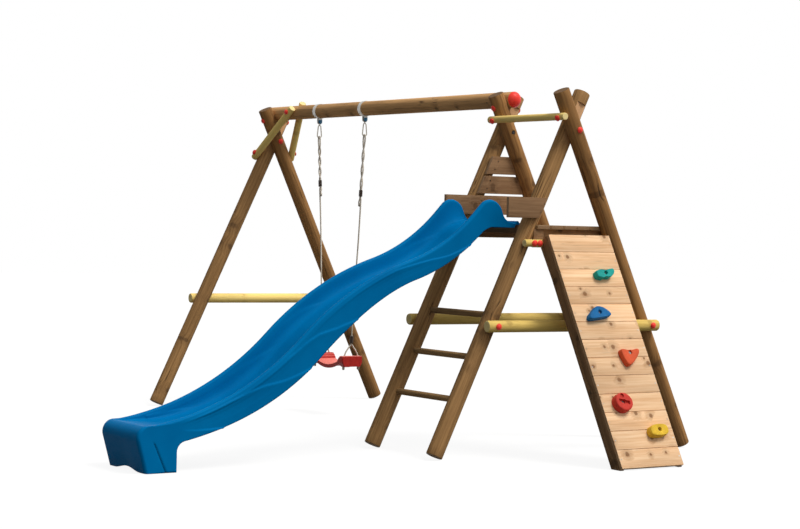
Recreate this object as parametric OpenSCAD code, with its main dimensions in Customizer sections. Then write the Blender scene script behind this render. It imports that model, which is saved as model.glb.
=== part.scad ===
// Wooden climbing frame: three leg pairs carry a swing beam and a tower with a
// platform, a ladder, a wave slide and a leaning climbing wall with grips.
// Millimetres, +Z up. X runs along the swing beam, the slide runs down towards -Y.

/* [Poles] */
// Diameter of the round poles of the legs and the beam
pole_d = 100; // [90:1:115]
// Length of a leg, cut square at both ends
leg_length = 2380; // [2200:10:2600]
// Length of a leg above the point where the pair crosses
leg_head = 257; // [240:1:300]
// Lean of each leg from upright, in degrees
leg_lean = 25.65; // [24:0.05:27]
// Depth of the flat sawn into each leg where the pair laps
lap_depth = 12.5; // [8:0.5:16]
// Length of the swing beam
beam_length = 3000; // [2950:5:3100]
// Height of the beam's axis above the crossing of a leg pair
beam_rise = 204; // [195:1:215]

/* [Layout] */
// Distance between the left and the middle leg pair
swing_bay = 2820; // [2780:5:2860]
// Distance between the middle and the right leg pair
tower_bay = 645; // [625:5:700]

/* [Bars] */
// Diameter of the crossbars that tie each leg pair
bar_d = 70; // [64:1:76]
// Length of a crossbar
bar_length = 1240; // [1200:5:1300]
// Height of the crossbars
bar_z = 770; // [740:5:800]
// Diameter of the top rail and of the bar that carries the climbing wall
rail_d = 44; // [40:1:48]
// Diameter of the two braces at the left leg pair
brace_d = 50; // [46:1:54]
// Reach of the front brace along the beam
brace_reach_front = 320; // [290:5:350]
// Reach of the back brace along the beam
brace_reach_back = 240; // [220:5:260]
// Diameter of the ladder rungs
rung_d = 38; // [34:1:42]
// Height of the lowest rung
rung_first = 342; // [320:1:360]
// Distance from rung to rung
rung_step = 245; // [235:1:250]

/* [Platform] */
// Height of the deck's top
deck_z = 1365; // [1340:1:1390]
// Width of a deck board
deck_board_w = 95; // [90:1:98]
// Thickness of a deck board
deck_board_t = 24; // [20:1:28]
// Height of a bearer under the deck
bearer_h = 60; // [54:1:66]
// Thickness of a bearer
bearer_t = 38; // [34:1:42]
// Thickness of the guard boards
guard_t = 22; // [18:1:26]
// Height of the two upper guard boards
guard_h = 110; // [100:1:116]
// Height of the lowest guard board beside the slide
guard_low_h = 117; // [105:1:125]

/* [Slide] */
// Outer width of the slide
slide_width = 440; // [400:5:470]
// Height of the slide's side walls in the upper wave, square to the run
slide_wall = 120; // [118:1:128]
// Extra height of the side walls where the lower wave is steepest
slide_belly = 46; // [36:1:56]
// Width of the rolled rim on each side wall
slide_rim = 36; // [32:1:44]
// Skin thickness of the moulding
slide_skin = 5; // [4:0.5:6]
// Height of the run-out at the slide's foot
slide_foot = 240; // [225:1:255]

/* [Climbing wall] */
// Lean of the wall from upright, in degrees
wall_lean = 28.8; // [27:0.1:30]
// Number of wall boards
wall_boards = 13; // [12:1:13]
// Distance from one wall board to the next
wall_step = 114; // [111:0.5:114]
// Gap between two wall boards
wall_gap = 2; // [1:0.5:4]
// Thickness of a wall board
wall_board_t = 22; // [20:1:26]
// Width of the climbing wall
wall_width = 462; // [440:2:480]
// Height of the wall's top edge
wall_top_z = 1312; // [1308:1:1316]
// Thickness of a stringer
stringer_t = 28; // [24:1:34]
// Depth of a stringer behind the boards
stringer_depth = 70; // [64:1:80]

/* [Swing] */
// Place of the swing's middle along the beam, measured from the middle leg pair
swing_place = 1900; // [1800:5:1950]
// Distance between the two hangers
hang_gap = 590; // [560:5:620]
// Length of the seat along the beam
seat_length = 420; // [400:5:440]
// Depth of the seat from front to back
seat_depth = 165; // [155:1:180]
// Height of the seat's end blocks above the ground
seat_z = 345; // [320:5:380]
// Diameter of the swing rope
rope_d = 10; // [8:0.5:11]
// Drop of the left rope adjuster below its hook
adjuster_drop_left = 305; // [280:5:360]
// Drop of the right rope adjuster below its hook
adjuster_drop_right = 375; // [350:5:420]

/* [Fixings] */
// Diameter of the bolts
bolt_d = 10; // [8:0.5:11]
// Diameter of the red plastic bolt covers
cap_d = 30; // [28:0.5:32]

/* [Hidden] */
$fn = 64;
slack = 0.4;
lean = leg_lean;
pole_r = pole_d / 2;
leg_cross = leg_length - leg_head;
foot_lift = pole_r * sin(lean);
foot_y = leg_cross * sin(lean);
cross_z = foot_lift + leg_cross * cos(lean);
beam_z = cross_z + beam_rise;
// Longer legs lift their crossing, and with it the deck, the wall and the crossbars
leg_standard = 2380;
leg_lift = (leg_length - leg_standard) * cos(lean);
deck_top = deck_z + leg_lift;
wall_head_z = wall_top_z + leg_lift;
bar_level = bar_z * leg_length / leg_standard;
bar_run = bar_length * leg_length / leg_standard;
lap_offset = pole_r - lap_depth;
lap_half = 95;
lap_below_top = 75;
// A longer beam moves the left pair out
beam_standard = 3000;
left_x = -swing_bay - (beam_length - beam_standard);
mid_x = 0;
right_x = tower_bay;
// Distance of a leg's axis from the middle plane at a height
function leg_y(z) = (cross_z - z) * tan(lean);

// Bolt seats
pole_seat = 8;
bar_seat = 6;
cap_h = 21;
cap_head_d = cap_d + 8;
cap_dome = 10;
beam_dome = 34;
head_h = 6;
bolt_bite = 60;
brace_bite = 45;
block_bite = 12;
nut_h = 8;
seat_cut = 30;

// Screws
screw_d = 4;
screw_head_d = 9;
screw_head_h = 3.5;
guard_screw = 40;
deck_screw = 50;
wall_screw = 45;

// Crossbars
bar_cope = 8;
bar_reach = pole_r + bar_d / 2 - bar_cope;
bar_skew = atan2(lap_offset, leg_y(bar_level));

// Top rail, fixed to the back legs of the middle and right pair
rail_up = 117;
rail_cope = 3;
rail_off = pole_r + rail_d / 2 - rail_cope;
rail_y = -rail_up * sin(lean) - rail_off * cos(lean);
rail_z = cross_z + rail_up * cos(lean) - rail_off * sin(lean);

// Braces
brace_over = 45;
brace_over_back = 90;
brace_off = pole_r + brace_d / 2 - rail_cope;
brace_down = 140;
function brace_low(side) = [
    left_x + side * lap_offset,
    side * (brace_down * sin(lean) + brace_off * cos(lean)),
    cross_z - brace_down * cos(lean) + brace_off * sin(lean)
];
function brace_high(side) = [
    left_x + (side < 0 ? brace_reach_front : brace_reach_back),
    side * brace_off,
    beam_z
];

// Platform
bearer_top = deck_top - deck_board_t;
bearer_mid = bearer_top - bearer_h / 2;
bearer_m_x = mid_x - lap_offset + pole_r;
bearer_r_x = right_x + lap_offset - pole_r - bearer_t;
deck_gap = 5;
deck_boards_n = 5;
deck_y = (deck_boards_n * (deck_board_w + deck_gap) - deck_gap) / 2;
deck_over = 23;
deck_edge = right_x + deck_over;
fascia_t = 24;
fascia_h = 50;
bearer_over = 45;

// Guard boards
guard_m_x = mid_x - lap_offset + pole_r;
guard_r_x = right_x - lap_offset + pole_r;
guard_gap = 12;
guard_lift = 58;
guard_low_z = deck_top + guard_lift;
guard_two_z = guard_low_z + guard_low_h + guard_gap;
guard_one_z = guard_two_z + guard_h + guard_gap;
guard_left_y = -465;
guard_right_y = -477;
guard_right_h = 121;
guard_right_drop = 17;
guard_right_z = guard_low_z - guard_right_drop;
guard_right_mid = guard_right_z + guard_right_h / 2;
// Reach of the right guard board past its leg's axis
guard_right_past = 8;
screw_apart = 25;
screw_in = 12;

// Climbing wall and the bar that carries it
wall_bar_x = right_x - lap_offset + pole_r + rail_d / 2 - rail_cope;
wall_bar_drop = 107;
wall_bar_z = deck_top - wall_bar_drop;
wall_back = wall_board_t + stringer_depth;
wall_bar_in = wall_back - 3;
wall_bar_rise = wall_head_z - wall_bar_z;
wall_top_x = wall_bar_x + (wall_bar_in - wall_bar_rise * sin(wall_lean)) / cos(wall_lean);
wall_rows = wall_boards + round(leg_lift / (wall_step * cos(wall_lean)));
wall_length = wall_rows * wall_step;
block_x = right_x + lap_offset - pole_r;

// Slide: path pieces in the side view, u along -Y and v up
lip_u = 262;
lip_v = deck_top - 1 + slide_skin;
bed_flat = 125;
lip_over = 34;
lip_drop = 18;
bed_bend = 260;
bed_wave_one = 1250;
bed_wave_two = 1700;
bed_straight = 110;
rim_ahead = 270.16;
rim_above = 113.58;
rim_straight = 70;
rim_wave_one = 1123;
rim_wave_two = 1800;
steep_one = 42;
rim_steep = 46;
wave_low = 18;
steep_two = 44.5;
// The waves are drawn for this drop and grow or shrink with the real one
wave_drop = 1062.2;
wave = (lip_v - slide_foot - bed_bend * (1 - cos(steep_one))) / wave_drop;
// Point of a bend that starts at p at angle a, where its angle is t; down is true where it gets steeper
function bend_point(p, a, t, r, down) = p + (down ? r : -r) * [sin(t) - sin(a), cos(t) - cos(a)];
function run_end(p, a, n) = p + n * [cos(a), -sin(a)];
// Stations of a bend, each a point and its angle
bend_n = 24;
function bend_run(p, a, b, r) = [for (k = [1:bend_n])
    let (t = a + (b - a) * k / bend_n)
        [bend_point(p, a, t, r, b > a), t]];
// Point of a station moved up by h, square to the path
function lifted(st, h) = st[0] + h * [sin(st[1]), cos(st[1])];
function last_point(run) = run[len(run) - 1][0];
function lifted_run(run, h) = [for (st = run) lifted(st, h)];
function turned(list) = [for (k = [len(list) - 1:-1:0]) list[k]];
function arc_points(c, r, a, b) = [for (k = [0:bend_n])
    c + r * [cos(a + (b - a) * k / bend_n), sin(a + (b - a) * k / bend_n)]];

// Sliding bed
bed_p0 = [lip_u, lip_v];
bed_p1 = run_end(bed_p0, 0, bed_flat);
bed_one = bend_run(bed_p1, 0, steep_one, bed_bend);
bed_two = bend_run(last_point(bed_one), steep_one, wave_low, wave * bed_wave_one);
bed_three = bend_run(last_point(bed_two), wave_low, steep_two, wave * bed_wave_two);
bed_p5 = run_end(last_point(bed_three), steep_two, wave * bed_straight);
bed_last = (bed_p5[1] - slide_foot) / (1 - cos(steep_two));
bed_four = bend_run(bed_p5, steep_two, 0, bed_last);
bed_run = concat([[bed_p1, 0]], bed_one, bed_two, bed_three, [[bed_p5, steep_two]], bed_four);

// Rim of the side walls
rim_out = 9;
foot_rise = 17;
rim_p0 = [lip_u + rim_ahead, lip_v + rim_above];
rim_p1 = run_end(rim_p0, rim_steep, rim_straight);
rim_one = bend_run(rim_p1, rim_steep, wave_low, wave * rim_wave_one);
rim_two = bend_run(last_point(rim_one), wave_low, steep_two, wave * rim_wave_two);
rim_p3 = last_point(rim_two);
rim_last = (rim_p3[1] - slide_foot - foot_rise) / (cos(rim_out) - cos(steep_two));
rim_three = bend_run(rim_p3, steep_two, rim_out, rim_last);
rim_run = concat([[rim_p0, rim_steep], [rim_p1, rim_steep]], rim_one, rim_two, rim_three);
rim_end = last_point(rim_three);
// Height of the walls along the lower wave: share runs from 0 at its start over 1 at its steepest to 2
function wall_down(share) = slide_wall + slide_belly * pow(sin(90 * share), 1.5);
// Lower edge of a part of the rim whose first station has this share
function edge_run(run, share) = [for (k = [0:len(run) - 1])
    lifted(run[k], -wall_down(share + (k + 1) / bend_n))];
// Raised start of the walls beside the lip
hump_r = 88;
hump_c = rim_p0 - hump_r * [sin(rim_steep), cos(rim_steep)];
entry_r = 100;
entry_v = lip_v + 4 + entry_r;
entry_u = hump_c[0] - sqrt(pow(entry_r + hump_r, 2) - pow(hump_c[1] - entry_v, 2));
entry_turn = atan2(entry_v - hump_c[1], entry_u - hump_c[0]);

// Foot block
foot_nose = 40;
foot_depth = 130;
foot_front = rim_end[0] + foot_nose;
foot_back = rim_end[0] - foot_depth;
foot_r = 65;
foot_c = [foot_front, slide_foot - 50];
foot_tuck = 15;
low_out = 14;
low_share = (steep_two - low_out) / (steep_two - rim_out);
low_last = lifted([bend_point(rim_p3, steep_two, low_out, rim_last, false), low_out], -wall_down(1 + low_share));
arch_r = (foot_back - low_last[0]) / (1 - sin(low_out));
arch_c = low_last - arch_r * [sin(low_out), cos(low_out)];
slide_x = (mid_x - lap_offset + right_x - lap_offset) / 2;
slide_left = slide_x - slide_width / 2;
slide_right = slide_x + slide_width / 2;

// Swing
swing_x = mid_x - swing_place;
clamp_t = 3;
clamp_w = 34;
hook_d = 8;
eye_r = 15.5;
bush_d = 22;
bush_w = 16;
pin_d = 10;
pivot_z = beam_z - pole_r - clamp_t - 4 - eye_r - hook_d / 2;
loop_top_r = 11;
loop_low_r = 17;
loop_gap = 60;
loop_top_z = -(eye_r + hook_d + 1.5 + loop_top_r);
loop_low_z = loop_top_z - loop_gap;
loop_tilt = asin((loop_low_r - loop_top_r) / loop_gap);
hook_low = loop_low_z - loop_low_r;
gate_t1 = [-loop_top_r * cos(loop_tilt), loop_top_z + loop_top_r * sin(loop_tilt)];
gate_t2 = [-loop_low_r * cos(loop_tilt), loop_low_z + loop_low_r * sin(loop_tilt)];
gate_line = (gate_t1 - gate_t2) / norm(gate_t1 - gate_t2);
gate_nose = 7;
gate_pin = gate_t1 - 6 * gate_line;
block_w = 45;
block_h = 75;
bridle_x = seat_length / 2 - block_w / 2;
bridle_y = seat_depth / 2 - 22;
seat_top = seat_z + block_h;
strand_gap = rope_d + 3;
loop_rope_r = hook_d / 2 + rope_d / 2 + 0.3;
hook_low_z = pivot_z + hook_low;
ferrule_h = 50;
ferrule_d = 24;
ferrule_low_z = seat_top + 82;
rope_drop = hook_low_z - ferrule_low_z;
rope_tilt = atan2(hang_gap / 2 + strand_gap / 2 - bridle_x, rope_drop);
rope_length = rope_drop / cos(rope_tilt);
// Lower end of the main strand, where the bridle starts
function bridle_top(s) = [
    swing_x + s * (hang_gap / 2 + strand_gap / 2 * cos(rope_tilt) - rope_length * sin(rope_tilt)),
    0,
    hook_low_z - rope_length * cos(rope_tilt) - strand_gap / 2 * sin(rope_tilt)
];

// Grips on the wall: share of the way down it, and distance across it
grip_teal = [0.181 * wall_length, 80];
grip_blue = [0.354 * wall_length, -62];
grip_orange = [0.528 * wall_length, 73];
grip_red = [0.737 * wall_length, -98];
grip_yellow = [0.857 * wall_length, 100];
grip_places = [grip_teal, grip_blue, grip_orange, grip_red, grip_yellow];

// Shift that puts the middle of the outline on the origin
box_x_lo = left_x - lap_offset - bar_reach - bar_d / 2 + bar_seat - cap_h;
box_x_hi = wall_top_x + (wall_length - wall_gap) * sin(wall_lean);
box_y_lo = -(foot_front + foot_r);
box_y_hi = foot_y + pole_r * cos(lean);
centre = [-(box_x_lo + box_x_hi) / 2, -(box_y_lo + box_y_hi) / 2, 0];

// Bolts: seat of the head, turn that points +Z out of the head, length of shank
cross_bolts = [for (x = [left_x, mid_x, right_x])
    [[x + lap_offset + pole_r - pole_seat, 0, cross_z], [0, 90, 0], pole_d + 2 * (lap_offset - pole_seat)]];
beam_near = beam_rise * sin(lean);
beam_bolts = [for (x = [left_x, mid_x], side = [-1, 1])
    [[x + side * lap_offset,
      -side * (beam_near + pole_r - pole_seat) * cos(lean),
      beam_z - (beam_near + pole_r - pole_seat) * sin(lean)],
     [side * (90 + lean), 0, 0],
     beam_near + pole_d - 2 * pole_seat]];
rail_bolts = [for (x = [mid_x, right_x])
    [[x + lap_offset,
      rail_y - (rail_d / 2 - bar_seat) * cos(lean),
      rail_z - (rail_d / 2 - bar_seat) * sin(lean)],
     [90 + lean, 0, 0],
     rail_d + bolt_bite]];
brace_bolts = [for (side = [-1, 1])
    each [
        [brace_low(side) + (brace_d / 2 - bar_seat) * [0, side * cos(lean), sin(lean)],
         [side * (lean - 90), 0, 0], brace_d + brace_bite],
        [brace_high(side) + (brace_d / 2 - bar_seat) * [0, side, 0], [-side * 90, 0, 0], brace_d + brace_bite]
    ]];
function bar_bolt(x, side, way) = [
    [x + side * lap_offset + way * (bar_reach + bar_d / 2 - bar_seat), side * leg_y(bar_level), bar_level],
    [0, way * 90, 0],
    bar_d + bolt_bite
];
bar_bolts = concat(
    [for (x = [left_x, mid_x], side = [-1, 1]) bar_bolt(x, side, -1)],
    [for (side = [-1, 1]) bar_bolt(right_x, side, 1)]
);
bearer_bolts = [
    [[bearer_m_x + bearer_t - bar_seat, -leg_y(bearer_mid), bearer_mid], [0, 90, 0], bearer_t + bolt_bite],
    [[bearer_r_x + bar_seat, leg_y(bearer_mid), bearer_mid], [0, -90, 0], bearer_t + bolt_bite]
];
block_bolt_y = -wall_width / 2 - cap_d / 2 - 9;
block_bolts = [for (k = [0, 1])
    [[wall_bar_x + rail_d / 2 - bar_seat, block_bolt_y - k * (cap_head_d + 2), wall_bar_z],
     [0, 90, 0],
     rail_d + block_bite]];
through_bolts = concat(cross_bolts, beam_bolts);
lag_bolts = concat(rail_bolts, brace_bolts, bar_bolts, bearer_bolts, block_bolts);
capped_bolts = concat([cross_bolts[0], cross_bolts[2]], beam_bolts, lag_bolts);
function near_x(list, x, reach) = [for (b = list) if (abs(b[0][0] - x) < reach) b];

// Shared shapes

// Puts a leg's own frame in place: +1 is the back leg, -1 the leg on the slide's side
module leg_frame(x, side) {
    translate([x + side * lap_offset, side * foot_y, foot_lift])
        rotate([side * lean, 0, 0])
            children();
}

module leg_space(x, side, grow) {
    leg_frame(x, side)
        translate([0, 0, -grow])
            cylinder(r = pole_r + grow, h = leg_length + 2 * grow);
}

module rod_x(x0, x1, y, z, d) {
    translate([x0, y, z])
        rotate([0, 90, 0])
            cylinder(d = d, h = x1 - x0);
}

module rod_y(y0, y1, x, z, d) {
    translate([x, y0, z])
        rotate([-90, 0, 0])
            cylinder(d = d, h = y1 - y0);
}

// Round rod from p to q
module rod(p, q, d) {
    v = q - p;
    n = norm(v);
    translate(p)
        rotate([0, acos(v[2] / n), atan2(v[1], v[0])])
            cylinder(d = d, h = n);
}

module at_bolts(list) {
    for (b = list)
        translate(b[0])
            rotate(b[1])
                let ($shank = b[2])
                    children();
}

module through_holes(list) {
    at_bolts(list) {
        translate([0, 0, -$shank - 1])
            cylinder(d = bolt_d + slack, h = $shank + 2);
        cylinder(d = cap_d, h = seat_cut);
        translate([0, 0, -$shank - seat_cut])
            cylinder(d = cap_d, h = seat_cut);
    }
}

// The wider part is only cut where a slanted bar would reach under the cover's head
module lag_holes(list) {
    at_bolts(list) {
        translate([0, 0, -$shank - 1])
            cylinder(d = bolt_d + slack, h = $shank + 2);
        cylinder(d = cap_d, h = seat_cut);
        translate([0, 0, pole_seat])
            cylinder(d = cap_head_d + 2 * slack, h = seat_cut);
    }
}

// Countersunk screw along -Z with its head's top at the origin
module screw(length, grow) {
    translate([0, 0, -length - grow])
        cylinder(d = screw_d + 2 * grow, h = length + grow);
    translate([0, 0, -screw_head_h])
        cylinder(d = screw_head_d + 2 * grow, h = screw_head_h + 10 * grow);
}

// Poles

module leg(x, side) {
    lap_low = leg_cross - lap_half;
    lap_high = side < 0 ? leg_length - lap_below_top : leg_cross + lap_half;
    lap_face = lap_offset - slack / 4;
    difference() {
        leg_frame(x, side)
            difference() {
                cylinder(r = pole_r, h = leg_length);
                translate([side > 0 ? -lap_face - pole_d : lap_face, -pole_d, lap_low])
                    cube([pole_d, 2 * pole_d, lap_high - lap_low]);
            }
        if (x < right_x)
            rod_x(x - 2 * pole_d, x + 2 * pole_d, 0, beam_z, pole_d + slack);
        through_holes(near_x(through_bolts, x, 2 * pole_d));
        lag_holes(near_x(lag_bolts, x, 2 * pole_d));
        if (side < 0 && x >= mid_x) {
            rung_spaces();
            at_guard_screws()
                screw(guard_screw, slack / 2);
        }
        if (side > 0 && x == right_x)
            wall_bar_rod(slack);
    }
}

module leg_left_front() {
    color("SaddleBrown") leg(left_x, -1);
}

module leg_left_back() {
    color("SaddleBrown") leg(left_x, 1);
}

module leg_middle_front() {
    color("SaddleBrown") leg(mid_x, -1);
}

module leg_middle_back() {
    color("SaddleBrown") leg(mid_x, 1);
}

module leg_right_front() {
    color("SaddleBrown") leg(right_x, -1);
}

module leg_right_back() {
    color("SaddleBrown") leg(right_x, 1);
}

beam_end = mid_x + lap_offset + pole_r - 2;
cap_pin_d = 24;
cap_pin_h = 30;

module swing_beam() {
    color("SaddleBrown")
        difference() {
            rod_x(beam_end - beam_length, beam_end, 0, beam_z, pole_d);
            through_holes(beam_bolts);
            lag_holes([brace_bolts[1], brace_bolts[3]]);
            rod_x(beam_end - cap_pin_h - 1, beam_end + 1, 0, beam_z, cap_pin_d + slack);
            translate([-beam_length, 0, 0])
                rod_x(beam_end - 1, beam_end + cap_pin_h + 1, 0, beam_z, cap_pin_d + slack);
        }
}

// Domed plastic cap with a pin that is pushed into the beam's end, +Z outwards
module beam_cap() {
    dome = beam_dome;
    dome_r = (pole_r * pole_r + dome * dome) / (2 * dome);
    intersection() {
        cylinder(r = pole_r, h = dome);
        translate([0, 0, dome - dome_r])
            sphere(r = dome_r, $fn = 128);
    }
    translate([0, 0, -cap_pin_h])
        cylinder(d = cap_pin_d, h = cap_pin_h + 1);
}

module beam_cap_left() {
    color("Crimson")
        translate([beam_end - beam_length - 0.2, 0, beam_z])
            rotate([0, -90, 0])
                beam_cap();
}

module beam_cap_right() {
    color("Crimson")
        translate([beam_end + 0.2, 0, beam_z])
            rotate([0, 90, 0])
                beam_cap();
}

// Bars and braces

// Crossbar on one side of a leg pair, turned a little because the two legs are offset
module crossbar(x, way) {
    difference() {
        translate([x + way * bar_reach, 0, bar_level])
            rotate([0, 0, -bar_skew])
                rotate([90, 0, 0])
                    cylinder(d = bar_d, h = bar_run, center = true);
        leg_space(x, -1, slack / 2);
        leg_space(x, 1, slack / 2);
        lag_holes(near_x(bar_bolts, x, 2 * pole_d));
    }
}

module crossbar_left() {
    color("Khaki") crossbar(left_x, -1);
}

module crossbar_middle() {
    color("Khaki") crossbar(mid_x, -1);
}

module crossbar_right() {
    color("Khaki") crossbar(right_x, 1);
}

module brace(side) {
    low = brace_low(side);
    high = brace_high(side);
    way = (high - low) / norm(high - low);
    over = side < 0 ? brace_over : brace_over_back;
    difference() {
        rod(low - brace_over * way, high + over * way, brace_d);
        leg_space(left_x, side, slack / 2);
        rod_x(left_x - 2 * pole_d, left_x + 2 * brace_reach_front, 0, beam_z, pole_d + slack);
        lag_holes(brace_bolts);
    }
}

module brace_front() {
    color("Khaki") brace(-1);
}

module brace_back() {
    color("Khaki") brace(1);
}

module top_rail() {
    color("Khaki")
        difference() {
            rod_x(mid_x + lap_offset - pole_r, right_x + lap_offset + pole_r, rail_y, rail_z, rail_d);
            leg_space(mid_x, 1, slack / 2);
            leg_space(right_x, 1, slack / 2);
            lag_holes(rail_bolts);
        }
}

// Ladder

rung_socket = 35;

module rung_spaces() {
    for (k = [0:2])
        rung(k, slack);
}

module rung(k, grow) {
    z = rung_first + k * rung_step;
    x0 = mid_x - lap_offset + pole_r - rung_socket;
    x1 = right_x - lap_offset - pole_r + rung_socket;
    rod_x(x0 - grow, x1 + grow, -leg_y(z), z, rung_d + grow);
}

module rung_low() {
    color("Sienna") rung(0, 0);
}

module rung_second() {
    color("Sienna") rung(1, 0);
}

module rung_top() {
    color("Sienna") rung(2, 0);
}

// Platform

module bearer_middle() {
    color("Sienna")
        difference() {
            y0 = -leg_y(bearer_mid) - bearer_over;
            translate([bearer_m_x, y0, bearer_top - bearer_h])
                cube([bearer_t, leg_y(bearer_mid) - y0, bearer_h]);
            leg_space(mid_x, -1, slack / 4);
            leg_space(mid_x, 1, slack / 2);
            lag_holes([bearer_bolts[0]]);
            at_deck_screws()
                screw(deck_screw, slack / 2);
        }
}

module bearer_right() {
    color("Sienna")
        difference() {
            y1 = leg_y(bearer_mid) + bearer_over;
            translate([bearer_r_x, -leg_y(bearer_mid), bearer_top - bearer_h])
                cube([bearer_t, y1 + leg_y(bearer_mid), bearer_h]);
            leg_space(right_x, -1, slack / 2);
            leg_space(right_x, 1, slack / 4);
            lag_holes([bearer_bolts[1]]);
            at_deck_screws()
                screw(deck_screw, slack / 2);
        }
}

// Boards laid along X from bearer to bearer, notched round the legs
module deck_boards() {
    color("Peru")
        difference() {
            for (k = [0:deck_boards_n - 1])
                translate([bearer_m_x, k * (deck_board_w + deck_gap) - deck_y, bearer_top])
                    cube([deck_edge - bearer_m_x, deck_board_w, deck_board_t]);
            for (x = [mid_x, right_x], side = [-1, 1])
                leg_space(x, side, 2);
            at_deck_screws()
                screw(deck_screw, slack / 2);
        }
}

module at_deck_screws() {
    for (k = [0:deck_boards_n - 1], x = [bearer_m_x, bearer_r_x])
        translate([x + bearer_t / 2, (k - 2) * (deck_board_w + deck_gap) * 0.92, deck_top])
            children();
}

// Board under the front edge of the deck, from bearer to bearer
module fascia() {
    fascia_x = bearer_m_x + bearer_t + slack;
    color("Sienna")
        difference() {
            translate([fascia_x, -deck_y - fascia_t - 1, deck_top - fascia_h - 1])
                cube([bearer_r_x - slack - fascia_x, fascia_t, fascia_h]);
            leg_space(right_x, -1, slack);
        }
}

// Guard board between two slanted ends, given by the distance of each end from a leg's axis
module guard_plank(x, z, h, low_left, high_left, low_right, high_right) {
    translate([x, 0, z])
        rotate([90, 0, 90])
            linear_extrude(guard_t)
                polygon([[low_left, 0], [low_right, 0], [high_right, h], [high_left, h]]);
}

module guard_top() {
    color("Sienna") guard_middle(guard_one_z, guard_h);
}

module guard_second() {
    color("Sienna") guard_middle(guard_two_z, guard_h);
}

// Board of the middle pair: its ends follow the front leg's middle and butt the back leg
module guard_middle(z, h) {
    guard_past = 40;
    difference() {
        guard_plank(guard_m_x, z, h, -leg_y(z) - guard_past, -leg_y(z + h) - guard_past, leg_y(z), leg_y(z + h));
        leg_space(mid_x, -1, slack / 4);
        leg_space(mid_x, 1, slack / 2);
        at_guard_screws()
            screw(guard_screw, slack / 2);
    }
}

module guard_slide_left() {
    z = guard_low_z;
    h = guard_low_h;
    color("Sienna")
        difference() {
            guard_plank(guard_m_x, z, h, guard_left_y, guard_left_y, leg_y(z), leg_y(z + h));
            leg_space(mid_x, -1, slack / 4);
            leg_space(mid_x, 1, slack / 2);
            at_guard_screws()
                screw(guard_screw, slack / 2);
        }
}

module guard_slide_right() {
    z = guard_right_z;
    h = guard_right_h;
    past = guard_right_past;
    color("Sienna")
        difference() {
            guard_plank(guard_r_x, z, h, guard_right_y, guard_right_y, past - leg_y(z), past - leg_y(z + h));
            leg_space(right_x, -1, slack / 4);
            at_guard_screws()
                screw(guard_screw, slack / 2);
        }
}

module at_guard_screws() {
    for (z = [guard_low_z + guard_low_h / 2, guard_two_z + guard_h / 2, guard_one_z + guard_h / 2])
        for (side = [-1, 1])
            translate([guard_m_x + guard_t, -leg_y(z + side * screw_apart) + screw_in, z + side * screw_apart])
                rotate([0, 90, 0])
                    children();
    for (side = [-1, 1])
        let (z = guard_right_mid + side * screw_apart)
            translate([guard_r_x + guard_t, -leg_y(z), z])
                rotate([0, 90, 0])
                    children();
}

// Slide

// Turns the side view (u, v) into the model, with its thickness towards -X from x
module side_view(x) {
    translate([x, 0, 0])
        rotate([90, 0, -90])
            children();
}

// Prism of a side view outline between two places across the slide
module slide_prism(x0, x1, outline) {
    side_view(x1)
        linear_extrude(x1 - x0)
            polygon(outline);
}

// Lip, hump, rim and foot above; foot, arch and lower edge below
slide_outline = concat(
    [[lip_u, lip_v - slide_skin], [lip_u, lip_v + 4]],
    arc_points([entry_u, entry_v], entry_r, -90, entry_turn - 180),
    arc_points(hump_c, hump_r, entry_turn, 90 - rim_steep),
    lifted_run([for (k = [1:len(rim_run) - 1]) rim_run[k]], 0),
    arc_points(foot_c, foot_r, 90 - rim_out, -foot_tuck),
    [[foot_front + 14, 0], [foot_back, 0]],
    arc_points(arch_c, arch_r, 0, 90 - low_out),
    turned(edge_run([for (st = rim_three) if (st[1] > low_out) st], 1)),
    turned(edge_run(rim_two, 0)),
    turned(lifted_run([for (st = rim_one) if (st[1] < steep_one) st], -slide_wall)),
    turned(lifted_run(
        [for (st = bed_one) if (st[1] < steep_one - 4 && lip_v - st[0][1] > lip_drop) st],
        -slide_skin - 3)),
    [[lip_u + lip_over, lip_v - slide_skin - lip_drop], [lip_u + lip_over, lip_v - slide_skin]]
);
channel_outline = concat(
    [[lip_u - 50, lip_v]],
    lifted_run(bed_run, 0),
    [[foot_front + 2 * foot_r, slide_foot], [foot_front + 2 * foot_r, 2 * deck_top], [lip_u - 50, 2 * deck_top]]
);
under_outline = concat(
    [[lip_u + lip_over + slide_skin, lip_v - slide_skin]],
    lifted_run([for (st = bed_run) if (st[0][0] < foot_back - 4) st], -slide_skin),
    [[foot_back, slide_foot - slide_skin], [foot_back, -50], [lip_u + lip_over + slide_skin, -50]]
);
wall_outline = concat(
    [[hump_c[0] - hump_r + 2 * slide_skin, lip_v - lip_drop - 4 * slide_skin]],
    arc_points(hump_c, hump_r - slide_skin, 165, 90 - rim_steep),
    lifted_run([for (k = [1:len(rim_run) - 1]) if (rim_run[k][1] > low_out + 1 || k < 60) rim_run[k]], -slide_skin),
    turned(lifted_run([for (k = [1:len(rim_run) - 1]) if (rim_run[k][1] > low_out + 1 || k < 60) rim_run[k]],
        -slide_wall - slide_belly - 3 * slide_skin))
);
foot_outline = concat(
    [[foot_back + slide_skin, -50], [foot_back + slide_skin, slide_foot - slide_skin]],
    arc_points(foot_c, foot_r - slide_skin, asin((50 - slide_skin) / (foot_r - slide_skin)), -foot_tuck),
    [[foot_front + 14 - slide_skin, 0], [foot_front + 14 - slide_skin, -50]]
);

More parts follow.
